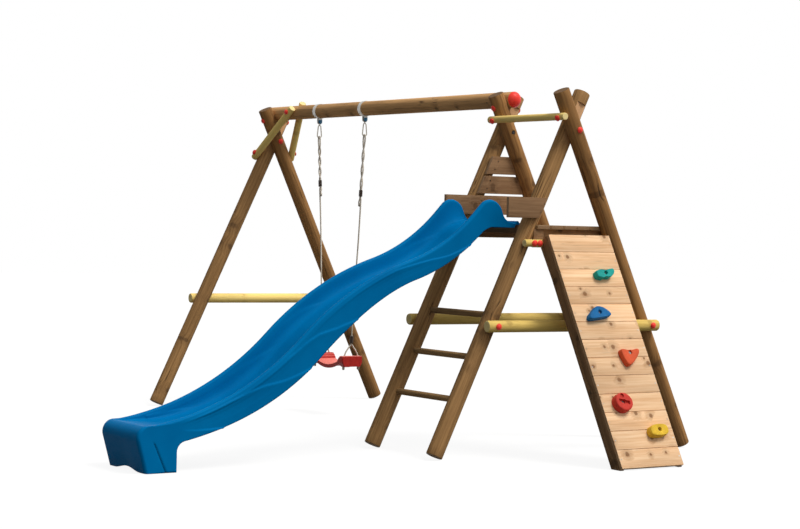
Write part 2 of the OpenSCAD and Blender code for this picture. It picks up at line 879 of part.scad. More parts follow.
// One hollow moulding: a channel above the bed, open below between and inside the walls
module slide() {
    inner_left = slide_left + slide_rim;
    inner_right = slide_right - slide_rim;
    lip_r = 11;
    color("RoyalBlue")
        union() {
            difference() {
                slide_prism(slide_left, slide_right, slide_outline);
                slide_prism(inner_left, inner_right, channel_outline);
                slide_prism(inner_left, inner_right, under_outline);
                slide_prism(slide_left + slide_skin, inner_left - slide_skin, wall_outline);
                slide_prism(inner_right + slide_skin, slide_right - slide_skin, wall_outline);
                slide_prism(slide_left + slide_skin, slide_right - slide_skin, foot_outline);
            }
            translate([0, -lip_u - lip_r - 0.5, lip_v - slide_skin + lip_r + 0.5])
                rod_x(slide_left + 1, slide_right - 1, 0, 0, 2 * lip_r);
        }
}

// Climbing wall

// Wall frame: x down the wall, y across it, z out of its face
module on_wall() {
    translate([wall_top_x, 0, wall_head_z])
        rotate([0, 90 - wall_lean, 0])
            children();
}

module wall_panel() {
    color("BurlyWood")
        difference() {
            on_wall()
                for (k = [0:wall_rows - 1])
                    translate([k * wall_step, -wall_width / 2, -wall_board_t])
                        cube([wall_step - wall_gap, wall_width, wall_board_t]);
            at_wall_screws()
                screw(wall_screw, slack / 2);
            at_grips()
                translate([0, 0, -40])
                    cylinder(d = bolt_d + slack, h = 60);
        }
}

module at_wall_screws() {
    on_wall()
        for (k = [0:wall_rows - 1], side = [-1, 1])
            translate([(k + 0.5) * wall_step, side * (wall_width / 2 - stringer_t / 2), 0])
                children();
}

module stringer(y) {
    difference() {
        on_wall()
            translate([0, y, -wall_back])
                cube([wall_length + 2 * wall_back, stringer_t, stringer_depth - slack / 4]);
        translate([0, -wall_width, -wall_length])
            cube([4 * wall_length, 2 * wall_width, wall_length]);
        wall_bar_rod(slack);
        at_wall_screws()
            screw(wall_screw, slack / 2);
    }
}

module stringer_left() {
    color("Sienna") stringer(-wall_width / 2);
}

module stringer_right() {
    color("Sienna") stringer(wall_width / 2 - stringer_t);
}

module wall_bar_rod(grow) {
    y0 = -leg_y(wall_bar_z) - 30;
    y1 = leg_y(wall_bar_z) - pole_r / cos(lean) + 30;
    rod_y(y0 - grow, y1 + grow, wall_bar_x, wall_bar_z, rail_d + grow);
}

module wall_bar() {
    color("Khaki")
        difference() {
            wall_bar_rod(0);
            leg_space(right_x, -1, slack / 2);
            lag_holes(block_bolts);
        }
}

// Block that hangs the wall's bar from the right bearer
module bar_block() {
    color("Sienna")
        difference() {
            translate([block_x + slack / 4, -266, wall_bar_z - 25])
                cube([wall_bar_x - rail_d / 2 - block_x - slack / 2, 72, bearer_top - wall_bar_z + 24]);
            leg_space(right_x, -1, slack);
            lag_holes(block_bolts);
        }
}

// Grips

module at_grip(p) {
    on_wall()
        translate([p[0], p[1], slack / 4])
            children();
}

module at_grips() {
    for (p = grip_places)
        at_grip(p)
            children();
}

// Rounded bar lying across the wall with both ends the same length from the middle
module rounded_bar(half, r) {
    translate([0, -half, 0])
        rotate([-90, 0, 0])
            cylinder(r = r, h = 2 * half);
    for (y = [-half, half])
        translate([0, y, 0])
            sphere(r = r + 0.3);
}

// Cuts a grip flat on the wall and bores it for its bolt
module grip_body(height) {
    difference() {
        children();
        translate([-200, -200, -200])
            cube([400, 400, 200]);
        translate([0, 0, -1])
            cylinder(d = bolt_d + slack, h = 100);
        translate([0, 0, height])
            cylinder(d = 24, h = 100);
    }
}

module grip_one() {
    color("DarkCyan")
        at_grip(grip_teal)
            grip_body(18)
                difference() {
                    rounded_bar(30, 42);
                    translate([-58, -100, 44])
                        rotate([-90, 0, 0])
                            cylinder(r = 34, h = 200);
                }
}

module grip_two() {
    color("MediumBlue")
        at_grip(grip_blue)
            grip_body(18)
                rotate([0, 0, 8])
                    difference() {
                        rounded_bar(44, 43);
                        translate([-56, -120, 50])
                            rotate([-90, 0, 0])
                                cylinder(r = 34, h = 240);
                    }
}

module grip_three() {
    color("OrangeRed")
        at_grip(grip_orange)
            grip_body(18)
                translate([24, 0, 0]) {
                    sphere(r = 34);
                    for (side = [-1, 1])
                        rotate([0, 0, 180 - side * 37])
                            rotate([0, 90, 0]) {
                                cylinder(r = 31, h = 66);
                                translate([0, 0, 66])
                                    sphere(r = 31.4);
                            }
                }
}

module grip_four() {
    dome = 46;
    base = 66;
    r = (base * base + dome * dome) / (2 * dome);
    color("Red")
        at_grip(grip_red)
            grip_body(18)
                difference() {
                    translate([0, 0, dome - r])
                        sphere(r = r);
                    translate([-26, 0, dome + 2])
                        rounded_bar(24, 18);
                }
}

module grip_five() {
    color("Gold")
        at_grip(grip_yellow)
            grip_body(18)
                union() {
                    rounded_bar(32, 38);
                    translate([-14, 0, 0])
                        sphere(r = 42);
                }
}

// Fixings

module grip_bolts() {
    color("Silver")
        at_grips() {
            translate([0, 0, 18])
                cylinder(d = 20, h = 6);
            translate([0, 0, -wall_board_t - 14])
                cylinder(d = bolt_d, h = wall_board_t + 33);
            translate([0, 0, -wall_board_t - 8.2])
                cylinder(d = 26, h = 8);
        }
}

module frame_bolts() {
    color("Silver") {
        at_bolts(through_bolts) {
            translate([0, 0, -$shank - nut_h])
                cylinder(d = bolt_d, h = $shank + nut_h + 1);
            cylinder(d = 20, h = head_h);
            translate([0, 0, -$shank - nut_h])
                cylinder(d = 19, h = nut_h, $fn = 6);
        }
        at_bolts(lag_bolts) {
            translate([0, 0, -$shank])
                cylinder(d = bolt_d, h = $shank + 1);
            cylinder(d = 20, h = head_h);
        }
    }
}

module bolt_caps() {
    dome = cap_dome;
    r = cap_head_d / 2;
    dome_r = (r * r + dome * dome) / (2 * dome);
    stem_h = pole_seat + slack;
    color("Crimson")
        at_bolts(capped_bolts)
            difference() {
                union() {
                    cylinder(d = cap_d - 2 * slack, h = stem_h + 1);
                    intersection() {
                        translate([0, 0, stem_h])
                            cylinder(r = r, h = cap_h - stem_h);
                        translate([0, 0, cap_h - dome_r])
                            sphere(r = dome_r, $fn = 96);
                    }
                }
                translate([0, 0, -1])
                    cylinder(d = 20.6, h = head_h + 1.3);
            }
}

module wall_screws() {
    color("Silver") at_wall_screws() screw(wall_screw, 0);
}

module board_screws() {
    color("Silver") {
        at_guard_screws() screw(guard_screw, 0);
        at_deck_screws() screw(deck_screw, 0);
    }
}

// Swing

// Frame of one hanger: origin on the swing's axis
module at_hanger(s) {
    translate([swing_x + s * hang_gap / 2, 0, pivot_z])
        children();
}

// Draws in the plane square to the beam: x becomes Y, y becomes Z
module in_swing_plane() {
    rotate([90, 0, 90])
        children();
}

// Clamp band round the beam with two ears and the pin that the swing turns on
module hanger(s) {
    rise = beam_z - pivot_z;
    ear_t = 4;
    ear_gap = bush_w + 1;
    ear_r = 14;
    at_hanger(s)
        union() {
            difference() {
                rod_x(-clamp_w / 2, clamp_w / 2, 0, rise, pole_d + 2 * clamp_t);
                rod_x(-clamp_w, clamp_w, 0, rise, pole_d + slack / 2);
            }
            for (side = [-1, 1])
                difference() {
                    translate([side * (ear_gap + ear_t) / 2 - ear_t / 2, 0, 0])
                        union() {
                            rod_x(0, ear_t, 0, 0, 2 * ear_r);
                            translate([0, -ear_r, 0])
                                cube([ear_t, 2 * ear_r, rise - pole_r]);
                        }
                    rod_x(-clamp_w, clamp_w, 0, rise, pole_d + slack / 2);
                }
            rod_x(-clamp_w / 2 - 2, clamp_w / 2 + 2, 0, 0, pin_d);
            for (side = [-1, 1])
                translate([side * (ear_gap / 2 + ear_t + 3), 0, 0])
                    rotate([0, 90, 0])
                        cylinder(d = 18, h = 6.2, center = true, $fn = 6);
        }
}

module hanger_left() {
    color("Silver") hanger(-1);
}

module hanger_right() {
    color("Silver") hanger(1);
}

module bush(s) {
    at_hanger(s)
        difference() {
            rod_x(-bush_w / 2, bush_w / 2, 0, 0, bush_d);
            rod_x(-bush_w, bush_w, 0, 0, pin_d + 0.1);
        }
}

module bush_left() {
    color("RoyalBlue") bush(-1);
}

module bush_right() {
    color("RoyalBlue") bush(1);
}

module wire_bend(c, r, a, b) {
    translate([c[0], c[1], 0])
        rotate([0, 0, a])
            rotate_extrude(angle = b - a)
                translate([r, 0])
                    circle(d = hook_d, $fn = 32);
}

module wire_run(p, q) {
    rod([p[0], p[1], 0], [q[0], q[1], 0], hook_d);
}

// Snap hook: an eye round the bush and a pear-shaped loop with a gap for the gate
module hook(s) {
    nose = gate_t2 + gate_nose * gate_line;
    back_t1 = [-gate_t1[0], gate_t1[1]];
    back_t2 = [-gate_t2[0], gate_t2[1]];
    at_hanger(s)
        in_swing_plane()
            difference() {
                union() {
                    wire_bend([0, 0], eye_r, 0, 360);
                    wire_bend([0, loop_top_z], loop_top_r, loop_tilt, 180 - loop_tilt);
                    wire_run(back_t1, back_t2);
                    wire_bend([0, loop_low_z], loop_low_r, 180 - loop_tilt, 360 + loop_tilt);
                    wire_run(gate_t2, nose);
                    rod([0, -eye_r, 0], [0, loop_top_z + loop_top_r, 0], hook_d - 1.5);
                    for (p = [back_t1, back_t2, gate_t2])
                        translate([p[0], p[1], 0])
                            sphere(d = hook_d + 0.3);
                    translate([gate_pin[0], gate_pin[1], -1.3]) {
                        cylinder(d = 6, h = 2.6, $fn = 32);
                        rotate([0, 0, atan2(gate_line[1], gate_line[0])])
                            translate([0, -2.9, 0])
                                cube([9, 5.8, 2.6]);
                    }
                }
                translate([gate_pin[0], gate_pin[1], -10])
                    cylinder(d = 3.1, h = 20, $fn = 32);
            }
}

module hook_left() {
    color("Silver") hook(-1);
}

module hook_right() {
    color("Silver") hook(1);
}

// Spring gate that turns on a small pin in the hook
module gate(s) {
    low = gate_t2 + (gate_nose + 0.6) * gate_line;
    high = gate_t1 - 2.5 * gate_line;
    slot = gate_t1 - 12 * gate_line;
    at_hanger(s)
        in_swing_plane()
            union() {
                difference() {
                    wire_run(low, high);
                    translate([slot[0], slot[1], 0])
                        rotate([0, 0, atan2(gate_line[1], gate_line[0])])
                            translate([0, -hook_d, -1.7])
                                cube([20, 2 * hook_d, 3.4]);
                }
                translate([gate_pin[0], gate_pin[1], -3.2])
                    cylinder(d = 3, h = 6.4, $fn = 32);
            }
}

module gate_left() {
    color("Gray") gate(-1);
}

module gate_right() {
    color("Gray") gate(1);
}

// Frame of one rope: main strand on the axis, running down along -Z
module at_rope(s) {
    at_hanger(s)
        translate([0, 0, hook_low])
            rotate([0, s * rope_tilt, 0])
                translate([s * strand_gap / 2, 0, 0])
                    children();
}

module rope_joint(p) {
    translate(p)
        sphere(d = rope_d + 0.3, $fn = 32);
}

function adjuster_drop(s) = s < 0 ? adjuster_drop_left : adjuster_drop_right;
adjuster_h = 44;

// One rope: loop through the hook, tail back to the adjuster, bridle down to the seat
module rope(s) {
    eye = 90;
    tail = -s * strand_gap;
    loop_mid = tail / 2;
    knot = -adjuster_drop(s) - adjuster_h - 12;
    at_rope(s) {
        translate([loop_mid, 0, 0])
            rotate([90, 0, 0])
                rotate_extrude(angle = 180)
                    translate([loop_rope_r, 0])
                        circle(d = rope_d, $fn = 32);
        for (k = [0, 1]) {
            x = k == 0 ? 0 : tail;
            from = loop_mid + (x - loop_mid) / abs(x - loop_mid) * loop_rope_r;
            rope_joint([from, 0, 0]);
            rod([from, 0, 0], [x, 0, -eye], rope_d);
            rope_joint([x, 0, -eye]);
            rod([x, 0, -eye], [x, 0, k == 0 ? -rope_length : knot], rope_d);
        }
        translate([tail, 0, knot])
            sphere(d = 2 * rope_d, $fn = 48);
    }
    top = bridle_top(s);
    rope_joint(top);
    for (side = [-1, 1]) {
        hole = [swing_x + s * bridle_x, side * bridle_y, seat_top + 6];
        under = [hole[0], hole[1], seat_z - 9];
        rod(top, hole, rope_d);
        rope_joint(hole);
        rod(hole, under, rope_d);
        translate(under)
            sphere(d = 1.8 * rope_d, $fn = 48);
    }
}

module rope_left() {
    color("Beige") rope(-1);
}

module rope_right() {
    color("Beige") rope(1);
}

// Plastic adjuster that both strands run through
module adjuster(s) {
    wide = rope_d + 8;
    tail = -s * strand_gap;
    at_rope(s)
        translate([0, 0, -adjuster_drop(s) - adjuster_h])
            difference() {
                union() {
                    for (x = [0, tail])
                        translate([x, 0, 0])
                            cylinder(d = wide, h = adjuster_h);
                    translate([min(0, tail), -wide / 2, 0])
                        cube([strand_gap, wide, adjuster_h]);
                }
                for (x = [0, tail])
                    translate([x, 0, -1])
                        cylinder(d = rope_d + slack, h = adjuster_h + 2);
            }
}

module adjuster_left() {
    color("DimGray") adjuster(-1);
}

module adjuster_right() {
    color("DimGray") adjuster(1);
}

// Sleeve that gathers the bridle
module ferrule(s) {
    at_rope(s)
        translate([0, 0, -rope_length + rope_d / 2 + 3])
            difference() {
                cylinder(d = ferrule_d, h = ferrule_h);
                translate([0, 0, -1])
                    cylinder(d = rope_d + slack, h = ferrule_h + 2);
            }
}

module ferrule_left() {
    color("DimGray") ferrule(-1);
}

module ferrule_right() {
    color("DimGray") ferrule(1);
}

// Dished plastic seat with a raised, ribbed block at each end
module seat() {
    skin = 14;
    half = seat_length / 2 - block_w;
    dip = 43;
    edge_z = seat_z + 50;
    dish_r = (half * half + dip * dip) / (2 * dip);
    rib = 6;
    color("Crimson")
        translate([swing_x, 0, 0])
            difference() {
                union() {
                    intersection() {
                        translate([0, 0, edge_z - dip + dish_r])
                            difference() {
                                rod_y(-seat_depth / 2, seat_depth / 2, 0, 0, 2 * (dish_r + skin));
                                rod_y(-seat_depth, seat_depth, 0, 0, 2 * dish_r);
                            }
                        translate([-half - 5, -seat_depth, seat_z - dip])
                            cube([2 * half + 10, 2 * seat_depth, 2 * dip + block_h]);
                    }
                    for (s = [-1, 1])
                        translate([s * bridle_x - block_w / 2, -seat_depth / 2, seat_z])
                            cube([block_w, seat_depth, block_h]);
                }
                for (s = [-1, 1], side = [-1, 1])
                    translate([s * bridle_x, side * bridle_y, seat_z - 1])
                        cylinder(d = rope_d + 1.5, h = block_h + 2);
                for (s = [-1, 1], k = [0:2])
                    translate([s * (bridle_x + block_w / 2), 0, seat_z + 16 + 19 * k])
                        cube([2 * rib, 2 * seat_depth, rib], center = true);
            }
}

translate(centre) {
    leg_left_front();
    leg_left_back();
    leg_middle_front();
    leg_middle_back();
    leg_right_front();
    leg_right_back();
    swing_beam();
    beam_cap_left();
    beam_cap_right();
    crossbar_left();
    crossbar_middle();
    crossbar_right();
    brace_front();
    brace_back();
    top_rail();
    wall_bar();
    bar_block();
    bearer_middle();
    bearer_right();
    deck_boards();
    fascia();
    guard_top();
    guard_second();
    guard_slide_left();
    guard_slide_right();
    rung_low();
    rung_second();
    rung_top();
    slide();
    stringer_left();
    stringer_right();
    wall_panel();
    grip_one();
    grip_two();
    grip_three();
    grip_four();
    grip_five();
    grip_bolts();
    frame_bolts();
    bolt_caps();
    wall_screws();
    board_screws();
    hanger_left();
    hanger_right();
    bush_left();
    bush_right();
    hook_left();
    hook_right();
    gate_left();
    gate_right();
    rope_left();
    rope_right();
    adjuster_left();
    adjuster_right();
    ferrule_left();
    ferrule_right();
    seat();
}
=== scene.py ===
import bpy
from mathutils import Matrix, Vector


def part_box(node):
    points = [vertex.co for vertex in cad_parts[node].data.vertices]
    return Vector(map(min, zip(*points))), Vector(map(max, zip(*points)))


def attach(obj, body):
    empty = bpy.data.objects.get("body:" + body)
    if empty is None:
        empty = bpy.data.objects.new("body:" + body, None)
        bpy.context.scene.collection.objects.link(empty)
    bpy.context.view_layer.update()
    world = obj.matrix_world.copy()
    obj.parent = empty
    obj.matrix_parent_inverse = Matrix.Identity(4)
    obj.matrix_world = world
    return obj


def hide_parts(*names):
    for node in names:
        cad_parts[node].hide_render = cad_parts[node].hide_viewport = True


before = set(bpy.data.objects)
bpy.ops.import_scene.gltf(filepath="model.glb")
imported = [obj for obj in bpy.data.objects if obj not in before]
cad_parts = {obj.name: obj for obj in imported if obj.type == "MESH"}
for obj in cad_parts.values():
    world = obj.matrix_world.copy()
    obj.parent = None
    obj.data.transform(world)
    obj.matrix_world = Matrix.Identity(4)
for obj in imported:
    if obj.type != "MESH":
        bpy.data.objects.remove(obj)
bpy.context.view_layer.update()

import math
import random

import bmesh
import bpy
import numpy as np
from mathutils import Matrix, Vector, noise


# Camera and studio
# The climbing frame stands on a plain pale floor and is seen from the corner between slide and wall, at
# eye height. A soft sun stands high on the wall's side, and a sky that is brightest there fills in the rest.
scene = bpy.context.scene
scene.view_settings.view_transform = "Standard"
beam_ends = (-2914.5, 85.5)
beam_low, beam_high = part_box("swing_beam")
layout_shift = Vector((beam_low.x - beam_ends[0] / 1000, (beam_low.y + beam_high.y) / 2, 0))


def spot(x, y, z):
    """Place in the model, in metres, from the layout's millimetres."""
    return layout_shift + Vector((x, y, z)) / 1000


eye = spot(9877.6, -7507.8, 1377.9)
yaw, pitch, roll = 0.9723, -0.0226, 0.0235
look = Vector((-math.sin(yaw) * math.cos(pitch), math.cos(yaw) * math.cos(pitch), math.sin(pitch)))
level = Vector((math.cos(yaw), math.sin(yaw), 0))
upright = level.cross(look)
view_right = math.cos(roll) * level + math.sin(roll) * upright
view_up = math.cos(roll) * upright - math.sin(roll) * level
camera = bpy.data.objects.new("camera", bpy.data.cameras.new("camera"))
camera.data.sensor_fit = "HORIZONTAL"
camera.data.sensor_width = 36
camera.data.lens = 89.17
camera.matrix_world = Matrix.Translation(eye) @ Matrix((view_right, view_up, -look)).transposed().to_4x4()
scene.collection.objects.link(camera)
scene.camera = camera


class Wire:
    """Output of a shader node, which can be reckoned with like a number."""

    def __init__(self, socket):
        self.socket = socket
        self.tree = socket.id_data

    def also(self, name):
        """Another output of the same node."""
        return Wire(self.socket.node.outputs[name])

    def math(self, operation, *others):
        return wired(self.tree, "Math", (self, *others), settings={"operation": operation})

    def __add__(self, other):
        return self.math("ADD", other)

    def __sub__(self, other):
        return self.math("SUBTRACT", other)

    def __rsub__(self, other):
        return wired(self.tree, "Math", (other, self), settings={"operation": "SUBTRACT"})

    def __mul__(self, other):
        return self.math("MULTIPLY", other)


def put(socket, value):
    """Links a wire to a socket, or writes a plain value on it."""
    if isinstance(value, Wire):
        value.tree.links.new(value.socket, socket)
    else:
        socket.default_value = value


def wired(tree, kind, values=(), out=0, settings=None, **inputs):
    """Output of a new node. Values fill its inputs in order; the others are named, with _ for a blank."""
    made = tree.nodes.new("ShaderNode" + kind)
    for key, value in (settings or {}).items():
        setattr(made, key, value)
    for socket, value in zip(made.inputs, values):
        put(socket, value)
    for key, value in inputs.items():
        put(made.inputs[key.replace("_", " ")], value)
    return Wire(made.outputs[out])


def between(value, low, high, to_low=0.0, to_high=1.0):
    """Value carried over from one range to another and kept inside that."""
    return wired(value.tree, "MapRange", Value=value, From_Min=low, From_Max=high, To_Min=to_low,
                 To_Max=to_high)


def seen_by_eye(tree):
    """1 for rays from the camera and for what shows in gloss or through glass."""
    ray = wired(tree, "LightPath", out="Is Camera Ray")
    return ray.math("MAXIMUM", ray.also("Is Glossy Ray")).math("MAXIMUM", ray.also("Is Transmission Ray"))


sky = bpy.data.worlds.new("sky")
scene.world = sky
sky.use_nodes = True
sky_tree = sky.node_tree
sky_tree.nodes.clear()
sky_bright, white = (0.48, 0.3, 0.82), (1, 1, 1, 1)
sky_way = wired(sky_tree, "TexCoord", out="Generated")
sky_side = wired(sky_tree, "VectorMath", (sky_way, sky_bright), "Value", {"operation": "DOT_PRODUCT"})
sky_fill = wired(sky_tree, "Background", (white, between(sky_side, -0.05, 1.0, 0.04, 1.0)))
sky_plain = wired(sky_tree, "Background", (white,))
sky_shown = wired(sky_tree, "MixShader", (seen_by_eye(sky_tree), sky_fill, sky_plain))
put(sky_tree.nodes.new("ShaderNodeOutputWorld").inputs["Surface"], sky_shown)

lamp = bpy.data.objects.new("lamp", bpy.data.lights.new("lamp", "SUN"))
lamp.data.energy = 2.1
lamp.data.angle = 0.35
lamp.data.color = (1.0, 0.97, 0.92)
lamp.rotation_mode = "QUATERNION"
lamp.rotation_quaternion = Vector((0.44, 0.26, 0.86)).to_track_quat("Z", "Y")
scene.collection.objects.link(lamp)

floor_half, floor_z = 30, -0.001
floor_points = [(x * floor_half, y * floor_half, floor_z) for x, y in ((-1, -1), (1, -1), (1, 1), (-1, 1))]
floor_mesh = bpy.data.meshes.new("floor")
floor_mesh.from_pydata(floor_points, [], [(0, 1, 2, 3)])
floor = bpy.data.objects.new("floor", floor_mesh)
scene.collection.objects.link(floor)
floor_paint = bpy.data.materials.new("floor_paint")
floor_paint.use_nodes = True
floor_tree = floor_paint.node_tree
floor_tree.nodes.clear()
floor_matt = wired(floor_tree, "BsdfDiffuse", Color=(0.12, 0.12, 0.12, 1))
floor_glow = wired(floor_tree, "Emission", Strength=seen_by_eye(floor_tree) * 0.9)
floor_shown = wired(floor_tree, "AddShader", (floor_matt, floor_glow))
put(floor_tree.nodes.new("ShaderNodeOutputMaterial").inputs["Surface"], floor_shown)
floor_mesh.materials.append(floor_paint)


# Swing ropes
# Each rope is three strands of pale hemp laid together. It runs from a knot under the adjuster up through
# the hook, comes back twisted round itself, and meets the seat's bridle in a dark sleeve.
def new_material(name, rough, **inputs):
    """Material with a Principled shader, and its node tree and shader."""
    made = bpy.data.materials.new(name)
    made.use_nodes = True
    shader = made.node_tree.nodes["Principled BSDF"]
    put(shader.inputs["Roughness"], rough)
    for key, value in inputs.items():
        put(shader.inputs[key.replace("_", " ")], value)
    return made, made.node_tree, shader


def own_place(tree):
    """Place on the piece itself, for patterns that stay with it."""
    return wired(tree, "TexCoord", out="Object")


def stretched(vector, sizes):
    return wired(vector.tree, "VectorMath", (vector, sizes), settings={"operation": "MULTIPLY"})


def mottle(vector, scale, detail=3.0, rough=0.55):
    return wired(vector.tree, "TexNoise", Vector=vector, Scale=scale, Detail=detail, Roughness=rough)


def mixed(share, first, second, way="MIX"):
    """Colour between two colours."""
    tree = next(value.tree for value in (share, first, second) if isinstance(value, Wire))
    made = tree.nodes.new("ShaderNodeMix")
    made.data_type, made.blend_type = "RGBA", way
    for index, value in ((0, share), (6, first), (7, second)):
        put(made.inputs[index], value)
    return Wire(made.outputs[2])


def bumped(shader, height, depth, strength=1.0):
    bump = wired(height.tree, "Bump", Height=height, Distance=depth, Strength=strength)
    put(shader.inputs["Normal"], bump)


def show(name, mesh, material, slot, body, *nodes):
    """Makes a mesh a piece of the part: its finish, its body and the nodes it stands for. The slot is not
    used.
    """
    made = bpy.data.objects.new(name, mesh)
    scene.collection.objects.link(made)
    mesh.materials.append(material)
    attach(made, body)
    if nodes:
        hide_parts(*nodes)
    return made


def mesh_of(name, points, faces):
    """Mesh with smooth faces."""
    made = bpy.data.meshes.new(name)
    made.from_pydata([tuple(p) for p in points], [], faces)
    made.validate()
    made.shade_smooth()
    return made


def run_along(line):
    """Distance along a line at each of its points."""
    return np.concatenate([[0], np.cumsum(np.linalg.norm(np.diff(line, axis=0), axis=1))])


def evenly(points, step):
    """Points along a line again, about a step apart."""
    line = np.array(points, float)
    along = run_along(line)
    count = max(2, math.ceil(along[-1] / step) + 1)
    at = np.linspace(0, along[-1], count)
    return np.stack([np.interp(at, along, line[:, k]) for k in range(3)], axis=1)


def eased(points, rounds):
    """Line with its corners rounded off."""
    line = np.array(points, float)
    for _ in range(rounds):
        cut = np.empty((2 * len(line) - 2, 3))
        cut[0::2] = 0.75 * line[:-1] + 0.25 * line[1:]
        cut[1::2] = 0.25 * line[:-1] + 0.75 * line[1:]
        line = np.concatenate([line[:1], cut, line[-1:]])
    return line


def ring_faces(rings, sides, first=0):
    """Faces between rings of points that follow each other; first is the number of their first point."""
    faces = []
    for k in range(rings - 1):
        base = first + k * sides
        for n in range(sides):
            m = (n + 1) % sides
            faces.append((base + n, base + m, base + sides + m, base + sides + n))
    return faces


def capped_faces(rings, sides):
    """Faces of a closed tube: the bands between its rings, and a flat end on each side."""
    ends = [tuple(range(sides - 1, -1, -1)), tuple(range((rings - 1) * sides, rings * sides))]
    return ring_faces(rings, sides) + ends


def laid_rope(line, radius, lay, strands=3, sides=18):
    """Tube round a line whose section has a lobe for each strand and turns once in each lay."""
    line = np.array(line, float)
    ways = np.gradient(line, axis=0)
    ways /= np.linalg.norm(ways, axis=1)[:, None]
    along = run_along(line)
    side = np.cross(ways[0], (0.1, 1.0, 0.2))
    rings = []
    for k in range(len(line)):
        side = side - ways[k] * (side @ ways[k])
        side /= np.linalg.norm(side)
        other = np.cross(ways[k], side)
        turn = 2 * math.pi * along[k] / lay
        for n in range(sides):
            angle = 2 * math.pi * n / sides
            lobe = 0.8 + 0.2 * abs(math.cos(strands / 2 * (angle - turn)))
            rings.append(line[k] + radius * lobe * (math.cos(angle) * side + math.sin(angle) * other))
    return rings, capped_faces(len(line), sides)


rope_d = 0.010
rope_r, rope_lay, rope_step = 0.55 * rope_d, 0.034, 0.0028
knot_r, knot_lay, knot_size = 0.0047, 0.03, 3.1
swing_x, hang_half, hook_low_z = -1900, 295, 1949.93
rope_tilt = math.radians(4.502)
rope_run, strand_gap, loop_r = 1452.41, 13, 9.3
adjuster_drop, adjuster_h = {"left": 305, "right": 375}, 44
eye_run, twist_r, twist_turns, tail_run = 72, 6.3, 1.5, 58
bridle_x, bridle_y = 187.5, 60.5
seat_z, seat_top = 345, 420

rope_hemp, hemp_tree, hemp_shader = new_material("rope_hemp", 0.85, Specular_IOR_Level=0.15)
hemp_fibre = mottle(own_place(hemp_tree), 900.0, 4.0, 0.7)
hemp_dirt = mottle(own_place(hemp_tree), 14.0)
hemp_tone = between(hemp_fibre * 0.55 + hemp_dirt * 0.45, 0.35, 0.65)
put(hemp_shader.inputs["Base Color"], mixed(hemp_tone, (0.46, 0.39, 0.3, 1), (0.92, 0.85, 0.74, 1)))
bumped(hemp_shader, hemp_fibre, 0.0006)


def rope_piece(name, line, radius, lay, *nodes):
    return show(name, mesh_of(name, *laid_rope(line, radius, lay)), rope_hemp, "rope", "swing", *nodes)


def overhand(name, middle):
    """Small tight knot tied in the rope."""
    line = []
    for step in range(72):
        t = 2 * math.pi * step / 72
        around = (math.sin(t) + 2 * math.sin(2 * t), math.cos(t) - 2 * math.cos(2 * t))
        line.append(middle + Vector((around[0], -1.2 * math.sin(3 * t), around[1])) * knot_size / 1000)
    return rope_piece(name, line, knot_r, knot_lay)


def rope_place(way, across, down, out=0.0):
    """Place by a rope: across and down are in the slanted frame that starts under its hook."""
    x = swing_x + way * hang_half
    turned_x = across * math.cos(rope_tilt) - way * down * math.sin(rope_tilt)
    turned_z = -across * way * math.sin(rope_tilt) - down * math.cos(rope_tilt)
    return spot(x + turned_x, out, hook_low_z + turned_z)


def strand(way, drop, down, sign):
    """Place of one of the two strands above the adjuster; sign is 1 for the one that goes on down."""
    turns = 2 * math.pi * twist_turns * min(1, max(0, (down - eye_run) / (drop - 14 - eye_run)))
    gap = np.interp(down, [0, 18, 40, eye_run, eye_run + 12, drop - 30, drop - 6],
                    [loop_r, 12, 11, 6, twist_r, twist_r, strand_gap / 2])
    return rope_place(way, sign * way * gap * math.cos(turns), down, -sign * gap * math.sin(turns))


for way, hand in ((-1, "left"), (1, "right")):
    drop = adjuster_drop[hand]
    adjuster_low = drop + adjuster_h
    route = []
    for down in np.linspace(tail_run, 0, 14)[:-1]:
        bow = strand_gap / 2 + 5 * math.sin(math.pi * down / tail_run)
        sway = 3 * math.sin(2 * math.pi * down / tail_run)
        route.append(rope_place(way, -way * bow, adjuster_low + down, sway))
    route += [strand(way, drop, down, -1) for down in np.linspace(adjuster_low, 4, 70)]
    for step in range(1, 12):
        angle = math.pi * step / 12
        route.append(rope_place(way, -way * loop_r * math.cos(angle), -loop_r * math.sin(angle)))
    route += [strand(way, drop, down, 1) for down in np.linspace(4, adjuster_low, 70)]
    for down in np.linspace(adjuster_low + 12, rope_run, 40):
        sway = 2.5 * math.sin((down - adjuster_low) / (rope_run - adjuster_low) * 2 * math.pi)
        route.append(rope_place(way, way * strand_gap / 2, down, sway))
    rope_line = evenly(eased(route, 2), rope_step)
    rope = rope_piece("rope_main_" + hand, rope_line, rope_r, rope_lay, "rope_" + hand)
    tail_knot = overhand("rope_tail_knot_" + hand, Vector(rope_line[0]))

    apex = rope_place(way, way * strand_gap / 2, rope_run)
    seat_end = swing_x + way * bridle_x
    seat_holes = [spot(seat_end, side * bridle_y, seat_z - 9) for side in (-1, 1)]
    legs = [[hole, spot(seat_end, side * bridle_y, seat_top + 6), apex + Vector((0, side * 0.006, -0.004))]
            for side, hole in zip((-1, 1), seat_holes)]
    bridle_line = evenly(eased(legs[0] + [apex + Vector((0, 0, 0.001))] + legs[1][::-1], 2), rope_step)
    bridle_rope = rope_piece("rope_bridle_" + hand, bridle_line, rope_r, rope_lay, "rope_" + hand)
    seat_knots = [overhand(f"rope_seat_knot_{hand}_{word}", hole)
                  for word, hole in zip(("front", "back"), seat_holes)]


